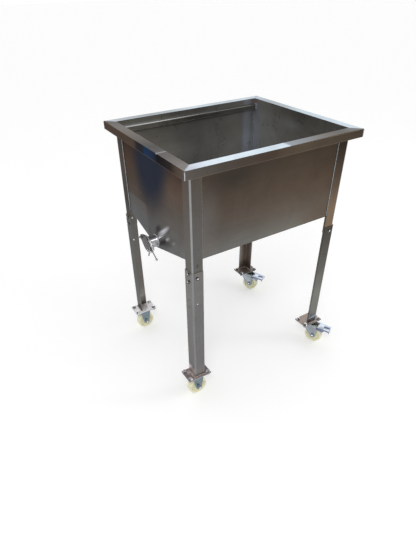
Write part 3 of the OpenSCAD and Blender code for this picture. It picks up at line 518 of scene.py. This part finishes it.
# Upper legs. Angles of 3 mm folded stainless, welded over the tank's corners along both edges.
# The fold has a painted highlight, brighter than the faces.
def angle_finish(name, long_face, end_face, fold_highlight, fold_highlight_tone, dark_spots=()):
    """An angle's finish: painted reflections in one run of tones down the leg on each face, a painted highlight on
    the fold, and painted light on faces that look up.
    """
    finish, place, axis = bare(name)
    faces = facing(finish)
    sideways = past(finish, reckoned(finish, "ABSOLUTE", faces["X"]), 0.7)
    colour = over(finish, sideways, bands(finish, axis["Z"], *long_face), bands(finish, axis["Z"], *end_face))
    colour = clouds(finish, place, colour, (fold_highlight, (0.0048, 0.0048, 2.0), fold_highlight_tone, 0.9, 0.4), *dark_spots)
    # Faces that look up get a painted light tone, as light falls on them from above.
    lit_top_face = tone(226, 212, 198)
    colour = over(finish, past(finish, faces["Z"], 0.7), colour, lit_top_face)
    return rolled(finish, place, colour, "z", rough=0.3, mottle=0.10, lines=0.10)


def corners(piece, corner):
    """A corner piece's outer top corner, its inner foot corner, and the signs of the way in across the tank."""
    low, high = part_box(piece + corner)
    way_x, way_y = 1 if "left" in corner else -1, 1 if "front" in corner else -1
    near = Vector((low.x if way_x > 0 else high.x, low.y if way_y > 0 else high.y, high.z))
    far = Vector((high.x if way_x > 0 else low.x, high.y if way_y > 0 else low.y, low.z))
    return near, far, way_x, way_y


# Painted reflections down each upper angle, long face then end face, mostly darker towards the top; the loop adds a
# painted highlight on each fold.
upper_tones = {
    "front_left": (((0.51, (104, 102, 99)), (0.62, (97, 96, 94)), (0.87, (84, 77, 71))),
                   ((0.51, (112, 110, 107)), (0.62, (109, 106, 102)), (0.87, (88, 77, 71)))),
    "front_right": (((0.51, (121, 104, 86)), (0.62, (122, 104, 86)), (0.76, (78, 67, 57)), (0.87, (44, 38, 32))),
                    ((0.51, (96, 90, 84)), (0.87, (66, 58, 52)))),
    "rear_left": (((0.51, (94, 90, 86)), (0.87, (72, 66, 60))),
                  ((0.51, (92, 88, 86)), (0.62, (58, 53, 50)), (0.75, (78, 66, 58)), (0.87, (54, 44, 40)))),
    "rear_right": (((0.51, (94, 88, 82)), (0.87, (72, 66, 60))),
                   ((0.51, (94, 88, 82)), (0.87, (72, 66, 60)))),
}
# Two darker spots on the front left upper angle.
dark_spots = {"front_left": (((-0.277, -0.2217, 0.583), (0.007, 0.012, 0.011), (74, 66, 58), 0.9),
                         ((-0.272, -0.2217, 0.640), (0.004, 0.012, 0.005), (78, 72, 66), 0.9))}
for corner, (long_face, end_face) in upper_tones.items():
    near, far, way_x, way_y = corners("upper_leg_", corner)
    fold_highlight = (near.x + 0.002 if way_x > 0 else near.x, near.y, 0.5)
    coat(angle_finish("upper angle " + corner, long_face, end_face, fold_highlight, (150, 151, 153), dark_spots.get(corner, ())),
         "upper_leg_" + corner)

side_foot, end_foot, under_rim = 0.604, 0.590, 0.872
seams = []
for corner in upper_tones:
    near, far, way_x, way_y = corners("upper_leg_", corner)
    edge_x, edge_y = far.x + 0.0004 * way_x, far.y + 0.0004 * way_y
    wall_x, wall_y = -0.2941 if way_x > 0 else 0.2939, -0.2192 if way_y > 0 else 0.2688
    broad = 0.0030 if corner == "front_left" else 0.0042
    seams.append(bead((edge_x, wall_y, side_foot), (edge_x, wall_y, under_rim), broad))
    seams.append(bead((wall_x, edge_y, end_foot), (wall_x, edge_y, under_rim), broad))
joined(seams)
settle("leg_seam_welds", weld_finish("seam weld", (112, 110, 108), (178, 184, 188)), "stainless_angle", "tank")


# Lower legs. Heavier angles bolted over the upper ones, with spare holes to set the height, and
# welded all round the foot to the leg plate.
# Painted reflections down each lower angle: long face, end face and the fold's painted highlight; the palest, just
# above the foot, mirror the leg plate.
lower_tones = {
    "front_left": (((0.10, (128, 124, 122)), (0.16, (118, 117, 116)), (0.36, (114, 114, 113)),
                    (0.56, (114, 112, 110))),
                   ((0.10, (232, 220, 216)), (0.135, (206, 196, 192)), (0.15, (122, 120, 120)),
                    (0.36, (132, 131, 129)), (0.56, (128, 126, 124))),
                   (134, 134, 136)),
    "front_right": (((0.105, (96, 92, 88)), (0.124, (92, 92, 90)), (0.128, (176, 184, 188)), (0.134, (150, 156, 156)),
                     (0.14, (122, 122, 117)), (0.25, (124, 124, 118)), (0.36, (106, 104, 99)), (0.56, (72, 67, 63))),
                    ((0.10, (120, 120, 118)), (0.56, (72, 67, 62))), (120, 118, 112)),
    "rear_left": (((0.105, (84, 74, 68)), (0.125, (120, 112, 106)), (0.15, (138, 134, 130)), (0.20, (110, 106, 102)),
                   (0.56, (96, 93, 90))),
                  ((0.10, (118, 116, 112)), (0.27, (102, 104, 102)), (0.56, (92, 94, 92))), (122, 122, 118)),
    "rear_right": (((0.10, (150, 138, 130)), (0.25, (132, 126, 120)), (0.56, (96, 90, 84))),
                   ((0.10, (140, 128, 120)), (0.25, (128, 122, 116)), (0.56, (94, 88, 82))), (130, 120, 112)),
}
for corner, (long_face, end_face, fold_highlight_tone) in lower_tones.items():
    near, far, way_x, way_y = corners("lower_leg_", corner)
    fold_highlight = (near.x + 0.003 if way_x > 0 else near.x, near.y, 0.3)
    coat(angle_finish("lower angle " + corner, long_face, end_face, fold_highlight, fold_highlight_tone), "lower_leg_" + corner)

proud, outer_bead, inner_bead = 0.0006, 0.0048, 0.0042
foot_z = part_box("leg_plate_front_left")[1].z + proud
feet = []
for corner in lower_tones:
    near, far, way_x, way_y = corners("lower_leg_", corner)
    out_x, out_y = near.x - proud * way_x, near.y - proud * way_y
    in_x, in_y = near.x + 0.0036 * way_x, near.y + 0.0036 * way_y
    feet.append(bead((near.x, out_y, foot_z), (far.x, out_y, foot_z), outer_bead))
    feet.append(bead((out_x, near.y, foot_z), (out_x, far.y, foot_z), outer_bead))
    feet.append(bead((in_x, in_y, foot_z), (far.x, in_y, foot_z), inner_bead))
    feet.append(bead((in_x, in_y, foot_z), (in_x, far.y, foot_z), inner_bead))
joined(feet)
settle("foot_welds", weld_finish("foot weld", (116, 104, 98), (208, 198, 194)), "stainless_angle", "tank")


# Leg plates. Flat drilled plates of 3 mm stainless under the feet, sawn from strip, with the saw's
# small rounding on their edges. Each plate's tone is painted light and reflection, and the rear left one is painted
# nearly white, as it lies full in the light.
def dressed(node_name, name, finish, slot, body, edge, angle=38, also=()):
    """Stands a copy of a CAD node in for it, with its sharp edges rounded as a deburring wheel leaves them."""
    bpy.ops.object.select_all(action="DESELECT")
    piece = bpy.data.objects.new(name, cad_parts[node_name].data.copy())
    bpy.context.scene.collection.objects.link(piece)
    piece.select_set(True)
    bpy.context.view_layer.objects.active = piece
    bpy.ops.mesh.customdata_custom_splitnormals_clear()
    open_up()
    bpy.ops.mesh.remove_doubles(threshold=0.00001)
    bpy.ops.mesh.dissolve_limited(angle_limit=math.radians(1))
    bpy.ops.object.mode_set(mode="OBJECT")
    modify("BEVEL", width=edge, segments=2, limit_method="ANGLE", angle_limit=math.radians(angle),
           use_clamp_overlap=True)
    return settle(name, finish, slot, body, node_name, *also)


plate_light_tones = {"front_left": (172, 160, 158), "front_right": (176, 160, 152),
               "rear_left": (254, 251, 252), "rear_right": (132, 122, 116)}
for corner, plate_light_tone in plate_light_tones.items():
    finish, place, axis = bare("leg plate " + corner)
    darker = tuple(round(c * 0.86) for c in plate_light_tone)
    colour = over(finish, flecks(finish, place, 60.0, 3.0), tone(*plate_light_tone), tone(*darker))
    sheen = 0.2 if corner == "rear_left" else 0.6
    dressed("leg_plate_" + corner, "foot_plate_" + corner,
            rolled(finish, place, colour, "x", rough=0.16, mottle=0.1, metallic=sheen), "leg_plate", "tank", 0.0004)


# Bolts, nuts and washers. Bright steel hardware, forged with a chamfered hexagon and a rolled thread.
# M6 holds the two leg angles together, and M8 holds the castors to the leg plates.
def turned(profile, steps=32):
    """Turns a half section of radius and height round the Z axis, as on a lathe."""
    bpy.ops.mesh.primitive_plane_add(size=0.001)
    open_up()
    bpy.ops.mesh.merge(type="CENTER")
    bpy.ops.mesh.select_all(action="SELECT")
    bpy.ops.transform.translate(value=(profile[0][0], 0, profile[0][1]))
    for (r0, z0), (r1, z1) in zip(profile, profile[1:]):
        bpy.ops.mesh.extrude_vertices_move(TRANSFORM_OT_translate={"value": (r1 - r0, 0, z1 - z0)})
    bpy.ops.mesh.select_all(action="SELECT")
    bpy.ops.mesh.spin(steps=steps, angle=math.tau, center=(0, 0, 0), axis=(0, 0, 1))
    bpy.ops.mesh.select_all(action="SELECT")
    bpy.ops.mesh.remove_doubles(threshold=0.000001)
    bpy.ops.mesh.normals_make_consistent(inside=False)
    bpy.ops.object.mode_set(mode="OBJECT")
    return bpy.context.object


def hexagon(across, base, high, ends="both", crown=0.0, dish=0.0):
    """A hexagon with its corners turned off at one end or both, a crowned base and a dished top."""
    half, cut = across / 2, across * 0.144
    rim, wide = half * 0.93, half * 1.3
    foot, top = [(0, base), (wide, base)], [(wide, base + high), (0, base + high)]
    if ends in ("both", "base"):
        foot = [(rim * r, base + crown * r * r) for r in (0, 0.4, 0.7, 1)] + [(wide, base + crown + cut)]
    if ends in ("both", "top"):
        top = [(wide, base + high - cut), (rim, base + high), (0, base + high - dish)]
    barrel = turned(foot + top, 48)
    bpy.ops.mesh.primitive_cylinder_add(vertices=6, radius=across / math.sqrt(3), depth=high,
                                        location=(0, 0, base + high / 2))
    bpy.ops.object.transform_apply()
    piece = bpy.context.object
    modify("BOOLEAN", operation="INTERSECT", object=barrel, solver="EXACT")
    bpy.data.objects.remove(barrel)
    return piece


def threaded(radius, start, end, pitch, plain=0.0):
    """A screwed shank with ridges of the thread, a plain length before them, and a chamfered end."""
    ridges = [(0, start), (radius, start), (radius, start + plain)]
    z = start + plain
    while z + pitch < end - pitch * 0.5:
        ridges += [(radius - pitch * 0.5, z + pitch * 0.5), (radius, z + pitch)]
        z += pitch
    return turned(ridges + [(radius - pitch * 0.7, end), (0, end)], 24)


def washer(radius, hole, base, high):
    """A stamped washer with a rolled upper edge."""
    soft = high * 0.25
    return turned([(hole, base), (radius - soft, base), (radius, base + soft), (radius, base + high - soft),
                   (radius - soft, base + high), (hole, base + high), (hole, base)], 32)


def another(piece, place):
    """A copy of a finished piece, with a mesh of its own, moved to a new place."""
    twin = piece.copy()
    twin.data = piece.data.copy()
    twin.data.transform(place)
    bpy.context.scene.collection.objects.link(twin)
    return twin


def spun(degrees, about):
    """A turn round one axis."""
    return Matrix.Rotation(math.radians(degrees), 4, about)


def turned_to(finish, way):
    """How far a face turns to one way: 1 straight at it, -1 away from it."""
    points = node(finish, "NewGeometry").outputs["Normal"]
    return node(finish, "VectorMath", {0: points, 1: way}, operation="DOT_PRODUCT").outputs["Value"]


def shone(finish, *stops):
    """Painted reflections and highlights: tones by how far a face turns to the upper left front, as small bright
    parts mirror a room.
    """
    return bands(finish, turned_to(finish, (-0.58, -0.58, 0.57)), *stops)


def glinting(name, dull, whitens, *ways):
    """Small hardware's finish: a dull painted reflection all round, with one painted white glint where a face looks
    one of these ways.
    """
    finish, place, axis = bare(name)
    glint = 0.0
    for way in ways:
        glint = reckoned(finish, "MAXIMUM", turned_to(finish, way), glint)
    colour = bands(finish, glint, (0.0, dull), (0.90, dull), (0.955, (92, 92, 98)), (whitens, (150, 152, 156)),
                   (whitens + 0.003, (255, 255, 255)), (1.0, (255, 255, 255)))
    return rolled(finish, place, colour, "none", rough=0.15, mottle=0.06, lines=0.05, metallic=0.75, edge=0.3)


# Painted reflections of a room and painted highlights, by how far each face turns to the upper left front.
finish, place, axis = bare("bright hardware")
colour = shone(finish, (-1.0, (88, 86, 88)), (0.0, (56, 54, 58)), (0.38, (80, 80, 86)), (0.46, (240, 244, 250)),
               (0.56, (255, 255, 255)), (0.66, (250, 252, 255)), (0.74, (110, 108, 112)), (0.86, (60, 58, 62)),
               (1.0, (140, 144, 152)))
bright_steel = rolled(finish, place, colour, "none", rough=0.15, mottle=0.06, lines=0.05, metallic=0.75, edge=0.7)

# M6 and M8: the hexagon across its flats, the shank's radius and the thread's pitch.
m6_hex, m6_shank, m6_pitch = 0.010, 0.0030, 0.0010
m8_hex, m8_shank, m8_pitch = 0.013, 0.0040, 0.00125

leg_bolt = joined([hexagon(m6_hex, -0.0040, 0.0032, "base", crown=0.0004), washer(0.0062, 0.0029, -0.0010, 0.0010),
                   threaded(m6_shank, -0.0012, 0.0125, m6_pitch, 0.0072), washer(0.0062, 0.0029, 0.0060, 0.0010),
                   hexagon(m6_hex, 0.0070, 0.0040)])
bolt_in, end_bolts_down, side_bolt_down = 0.020, (0.009, 0.038), 0.022
bolts = []
for corner in lower_tones:
    near, far, way_x, way_y = corners("lower_leg_", corner)
    inward_x, inward_y = spun(90 * way_x, "Y") @ spun(30, "Z"), spun(-90 * way_y, "X")
    for down in end_bolts_down:
        bolts.append(another(leg_bolt, Matrix.Translation((near.x, near.y + bolt_in * way_y, near.z - down))
                             @ inward_x))
    bolts.append(another(leg_bolt, Matrix.Translation((near.x + bolt_in * way_x, near.y, near.z - side_bolt_down))
                         @ inward_y))
bpy.data.objects.remove(leg_bolt)
joined(bolts)
settle("leg_bolts", glinting("bolt head steel", (60, 58, 62), 0.9695, (-0.97, 0, 0.12), (0, -0.97, 0.12)),
       "fasteners", "tank", "leg_fasteners")

plate_bolt = joined([hexagon(m8_hex, 0.0912, 0.0053, "base"), threaded(m8_shank, 0.0960, 0.1105, m8_pitch, 0.0065),
                     washer(0.0080, 0.0042, 0.1020, 0.0012), hexagon(m8_hex, 0.1032, 0.0055, dish=0.0012)])
bolt_x, bolt_y = 0.0375, 0.022
bolts = []
for corner in plate_light_tones:
    low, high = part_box("leg_plate_" + corner)
    middle = (low + high) / 2
    for x in (-bolt_x, bolt_x):
        for y in (-bolt_y, bolt_y):
            bolts.append(another(plate_bolt, Matrix.Translation((middle.x + x, middle.y + y, 0))
                                 @ Matrix.Rotation(x * 20 + y * 31, 4, "Z")))
bpy.data.objects.remove(plate_bolt)
joined(bolts)
settle("castor_bolts", bright_steel, "fasteners", "tank", "castor_fasteners")


# Castor housings. Pressed from 2.5 mm sheet and bright zinc plated, with a faint blue passivation.
# The two at the outlet end are fixed, and the two at the far end turn on a ring of balls.
def spangled(finish, place, colour, scale, dim, detail=4.0):
    """A tone dimmed in fine flecks, as the crystals of a plated or a blasted skin do."""
    spangle = over(finish, flecks(finish, place, scale, detail), tone(*dim), tone(255, 255, 255))
    return shaded(finish, colour, spangle)


finish, place, axis = bare("blue zinc plate")
# Painted reflections and a painted highlight band, by how far each face turns to the upper left front.
colour = shone(finish, (-1.0, (76, 84, 92)), (0.0, (98, 110, 118)), (0.45, (134, 148, 157)), (0.62, (142, 156, 164)),
               (0.70, (196, 206, 214)), (0.78, (162, 168, 174)), (0.9, (150, 156, 162)), (1.0, (206, 212, 218)))
colour = spangled(finish, place, colour, 90.0, (228, 230, 232))
blue_zinc = rolled(finish, place, colour, "z", rough=0.26, mottle=0.08, lines=0.05)
for corner in ("front_left", "rear_left"):
    dressed("fixed_fork_" + corner, "fixed_housing_" + corner, blue_zinc, "castor_zinc", "tank", 0.0006)
swivels = {"front_right": "fr", "rear_right": "rr"}
for corner, short in swivels.items():
    dressed("swivel_plate_" + corner, "swivel_top_" + corner, blue_zinc, "castor_zinc", "tank", 0.0004)
    dressed("swivel_fork_" + corner, "swivel_housing_" + corner, blue_zinc, "castor_zinc", "swivel_" + short,
            0.0006)
coat(bright_steel, "swivel_balls")
coat(blue_zinc, "swivel_kingpins")


# Wheels. Cast nylon, the colour of old ivory, with a raised ring round the hub, a sunk web and a
# fine flash line where the mould closed. Each turns on a steel sleeve over its axle bolt.
swivel_turn, axle_z, trail = -61, 0.036, 0.033


def castor_stand(corner):
    """Where a castor stands: under the middle of its leg plate, and turned as it trails if it swivels."""
    low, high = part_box("leg_plate_" + corner)
    stand = Matrix.Translation(((low.x + high.x) / 2, (low.y + high.y) / 2, 0))
    return stand @ spun(swivel_turn, "Z") if corner in swivels else stand


half_section = [(0.00603, -0.0150), (0.0112, -0.0150), (0.0120, -0.0142), (0.0124, -0.0078), (0.0140, -0.0062),
                (0.0185, -0.0060), (0.0191, -0.0066), (0.0203, -0.0066), (0.0209, -0.0060), (0.0240, -0.0061),
                (0.0258, -0.0074), (0.0268, -0.0120), (0.0276, -0.0130), (0.0318, -0.0130), (0.0337, -0.0125),
                (0.0352, -0.0110), (0.0358, -0.0090), (0.03592, -0.0050), (0.03592, -0.0003), (0.0360, 0.0)]
mirrored = [(r, -z) for r, z in reversed(half_section[:-1])]
wheel = turned(half_section + mirrored + [half_section[0]], 72)
finish, place, axis = bare("ivory nylon")
haze = flecks(finish, place, 38.0, 4.0, Roughness=0.6)
colour = over(finish, haze, tone(228, 225, 186), tone(246, 244, 216))
grime = scaled(finish, haze, (0.56, 0.72), (0, 0.55))
colour = over(finish, grime, colour, tone(176, 170, 138))
pits = node(finish, "Bump", {"Strength": 0.2, "Distance": 0.0002, "Height": flecks(finish, place, 420.0, 3.0)})
feed(finish, finish.node_tree.nodes["Principled BSDF"], {
    "Base Color": colour, "Roughness": either(finish, haze, 0.34, 0.5),
    "Normal": pits.outputs["Normal"], "Subsurface Weight": 0.12, "Subsurface Radius": (0.006, 0.005, 0.003),
    "Subsurface Scale": 0.5})
ivory_nylon = finish

axle_bolt = joined([hexagon(m8_hex, -0.0233, 0.0053, "base", crown=0.0005),
                    threaded(m8_shank, -0.0182, 0.0260, m8_pitch, 0.0360),
                    washer(0.0080, 0.0042, 0.0180, 0.0012), hexagon(m8_hex, 0.0192, 0.0053, dish=0.0016)])
# A painted reflection with a painted white glint where the axle ends look out.
axle_steel = glinting("axle steel", (150, 160, 168), 0.9660, (0, -0.97, 0.12), (-0.85, -0.47, 0.12))
for corner, body, axle_body in (("front_left", "wheel_fl", "tank"), ("rear_left", "wheel_rl", "tank"),
                                ("front_right", "wheel_fr", "swivel_fr"), ("rear_right", "wheel_rr", "swivel_rr")):
    back, lie = (trail, -90) if corner in swivels else (0, 90)
    seat = castor_stand(corner) @ Matrix.Translation((back, 0, axle_z)) @ spun(lie, "X")
    joined([another(wheel, seat)])
    settle("nylon_wheel_" + corner, ivory_nylon, "nylon", body, "wheel_" + corner)
    joined([another(axle_bolt, seat)])
    settle("axle_bolt_" + corner, axle_steel, "fasteners", axle_body, "axle_" + corner)
    coat(bright_steel, "sleeve_" + corner)
bpy.data.objects.remove(wheel)
bpy.data.objects.remove(axle_bolt)


# Brake pedals. A zinc plated pressing on a pin through the fork's arms, with a shoe that comes down
# on the tread. The top has a raised grip with three ribs, and the tip is cut into teeth.
def pedal_finish(name, *stops):
    """Bright zinc with a fine spangle, with painted reflections of the room in these tones."""
    finish, place, axis = bare(name)
    colour = spangled(finish, place, shone(finish, *stops), 70.0, (226, 230, 236))
    return rolled(finish, place, colour, "none", rough=0.2, mottle=0.08, lines=0.05, edge=0.8)


pedal_zinc = pedal_finish("pedal zinc", (-1.0, (54, 58, 66)), (0.0, (66, 72, 86)), (0.36, (122, 132, 152)),
                          (0.48, (214, 226, 244)), (0.62, (238, 244, 254)), (0.76, (110, 120, 140)),
                          (0.86, (84, 92, 112)), (1.0, (250, 252, 255)))
grip_zinc = pedal_finish("grip zinc", (-1.0, (54, 58, 66)), (0.30, (150, 166, 190)), (0.46, (240, 246, 255)),
                         (0.53, (84, 100, 134)), (0.59, (84, 100, 134)), (0.68, (246, 250, 255)),
                         (1.0, (200, 212, 230)))
grip_long, grip_wide, grip_thick = 0.024, 0.030, 0.0012
rib_long, rib_round, rib_pitch = 0.024, 0.0014, 0.007
bpy.ops.mesh.primitive_cube_add(size=1)
bpy.ops.transform.resize(value=(grip_long, grip_wide, grip_thick))
bpy.ops.object.transform_apply()
grip = bpy.context.object
modify("BEVEL", width=0.0005, segments=2)
ribs = [grip]
for offset in (-rib_pitch, 0.0, rib_pitch):
    bpy.ops.mesh.primitive_cylinder_add(vertices=16, radius=rib_round, depth=rib_long, location=(offset, 0, 0.0004),
                                        rotation=(math.pi / 2, 0, 0))
    bpy.ops.object.transform_apply()
    modify("BEVEL", width=0.0008, segments=3, limit_method="ANGLE", angle_limit=math.radians(40))
    ribs.append(bpy.context.object)
grip = joined(ribs)
pedal_x, pedal_z, pedal_slope, grip_x = 0.048, 0.0855, 7, 0.036
for corner, short in swivels.items():
    slope = castor_stand(corner) @ Matrix.Translation((pedal_x, 0, pedal_z)) @ spun(pedal_slope, "Y")
    dressed("brake_pedal_" + corner, "pedal_" + corner, pedal_zinc, "castor_zinc", "pedal_" + short, 0.0005)
    joined([another(grip, slope @ Matrix.Translation((grip_x, 0, 0.0004)))])
    settle("pedal_grip_" + corner, grip_zinc, "castor_zinc", "pedal_" + short)
    coat(bright_steel, "brake_pin_" + corner)
bpy.data.objects.remove(grip)


# Outlet and gate. A short pipe welded through the end wall, a two-eared flange, and a flap that
# swings on one ear's bolt and is clamped on the other by a wing nut. All of it is polished.
pipe_x, pipe_z, pipe_round, gate_lean, ear = -0.29359, 0.559, 0.0214, -14, 0.036
outlet = Matrix.Translation((pipe_x, fold_y, pipe_z)) @ spun(-90, "Y")
gate = outlet @ spun(gate_lean, "Z")

finish, place, axis = bare("polished pipe")
# Painted reflections in bands round the pipe, by how far each face turns up: dark underneath, white on the upper
# flank, darker again on top.
colour = bands(finish, facing(finish)["Z"], (-1.0, (92, 90, 90)), (-0.62, (120, 114, 112)), (-0.36, (196, 194, 196)),
               (-0.12, (140, 130, 124)), (0.08, (206, 208, 214)), (0.30, (255, 255, 255)), (0.66, (250, 252, 255)),
               (0.84, (176, 172, 178)), (0.93, (118, 112, 118)), (1.0, (144, 140, 146)))
polished = rolled(finish, place, colour, "x", rough=0.16, mottle=0.06, lines=0.05, metallic=0.6, edge=0.8)
coat(polished, "outlet_pipe")

rings = []
for out, minor in ((0.0004, 0.0019), (0.0306, 0.0013)):
    bpy.ops.mesh.primitive_torus_add(major_radius=pipe_round, minor_radius=minor, major_segments=90,
                                     minor_segments=8)
    modify("DISPLACE", texture=ripple_waver, strength=0.0007, mid_level=0.5)
    bpy.context.object.matrix_world = outlet @ Matrix.Translation((0, 0, out))
    bpy.ops.object.transform_apply()
    rings.append(bpy.context.object)
joined(rings)
settle("pipe_welds", weld_metal, "stainless_sheet", "tank")

finish, place, axis = bare("gate flange")
# Painted reflections and a painted highlight, by how far each face turns to the upper left front.
colour = shone(finish, (-1.0, (96, 94, 94)), (0.0, (120, 120, 124)), (0.45, (240, 242, 248)), (0.75, (255, 255, 255)),
               (1.0, (200, 204, 212)))
colour = spangled(finish, place, colour, 120.0, (226, 227, 230), 2.0)
dressed("gate_flange", "flange", rolled(finish, place, colour, "none", rough=0.16, metallic=0.75, edge=0.8),
        "stainless_sheet", "tank", 0.0005)

finish, place, axis = bare("gate flap")
# Painted reflections: dark grey on the flap's face, bright on the handle beyond it.
face = over(finish, flecks(finish, place, 40.0), tone(94, 93, 92), tone(122, 121, 120))
flap_face_x = -0.33335
colour = over(finish, past(finish, axis["X"], flap_face_x), tone(224, 226, 232), face)
dressed("gate_flap", "flap", rolled(finish, place, colour, "z", rough=0.18), "stainless_sheet", "gate_flap",
        0.0004)

finish, place, axis = bare("gasket rubber")
colour = over(finish, flecks(finish, place, 300.0, 3.0), tone(196, 192, 184), tone(214, 211, 204))
feed(finish, finish.node_tree.nodes["Principled BSDF"], {"Base Color": colour, "Roughness": 0.6})
coat(finish, "gate_gasket")

dome = turned([(0.0, 0.0488), (0.0022, 0.0482), (0.0038, 0.0466), (0.0045, 0.0446), (0.0046, 0.0430),
               (0.0046, 0.0420), (0, 0.0420)], 24)
shank = turned([(0, 0.0300), (m6_shank, 0.0300), (m6_shank, 0.0410), (0, 0.0410)], 24)
pivot = joined([hexagon(m6_hex, 0.0271, 0.0038, "base"), shank, hexagon(m6_hex, 0.0397, 0.0033), dome])
pivot.matrix_world = gate @ Matrix.Translation((0, ear, 0))
settle("gate_pivot_bolt", bright_steel, "fasteners", "tank", "gate_pivot")

stud = joined([hexagon(m6_hex, 0.0271, 0.0038, "base"), threaded(m6_shank, 0.0300, 0.0526, m6_pitch, 0.0095)])
stud.matrix_world = gate @ Matrix.Translation((0, -ear, 0))
settle("gate_clamp_stud", bright_steel, "fasteners", "tank", "gate_stud")
dressed("clamp_washer", "clamp_ring", bright_steel, "fasteners", "clamp", 0.0003)

hub = turned([(0.00305, 0.0), (0.0070, 0.0), (0.0074, 0.0005), (0.0072, 0.0014), (0.0060, 0.0070),
              (0.0054, 0.0079), (0.0036, 0.0080), (0.00305, 0.0075), (0.00305, 0.0)], 32)
wings = [hub]
for turn_by in (35, 215):
    bpy.ops.mesh.primitive_cube_add(size=1, location=(0.0055, 0, 0.0042))
    bpy.ops.transform.resize(value=(0.0030, 0.0030, 0.0062))
    bpy.ops.object.transform_apply()
    bpy.ops.object.mode_set(mode="EDIT")
    for reach, rise, wide, high in ((0.0040, 0.0022, 0.85, 1.15), (0.0040, 0.0018, 0.95, 1.05),
                                    (0.0032, 0.0006, 0.9, 0.62)):
        bpy.ops.mesh.select_all(action="DESELECT")
        bpy.ops.object.mode_set(mode="OBJECT")
        faces = bpy.context.object.data.polygons
        outer = max(faces, key=lambda face: face.center.x)
        outer.select = True
        bpy.ops.object.mode_set(mode="EDIT")
        bpy.ops.mesh.select_mode(type="FACE")
        bpy.ops.mesh.extrude_region_move(TRANSFORM_OT_translate={"value": (reach, 0, rise)})
        bpy.ops.transform.resize(value=(1, wide, high))
    bpy.ops.object.mode_set(mode="OBJECT")
    modify("SUBSURF", levels=2, render_levels=2)
    bpy.context.object.data.transform(spun(turn_by, "Z"))
    wings.append(bpy.context.object)
wing = joined(wings)
wing.matrix_world = gate @ Matrix.Translation((0, -ear, 0.0411))
settle("clamp_wing_nut", bright_steel, "fasteners", "wing", "wing_nut", smooth=50)
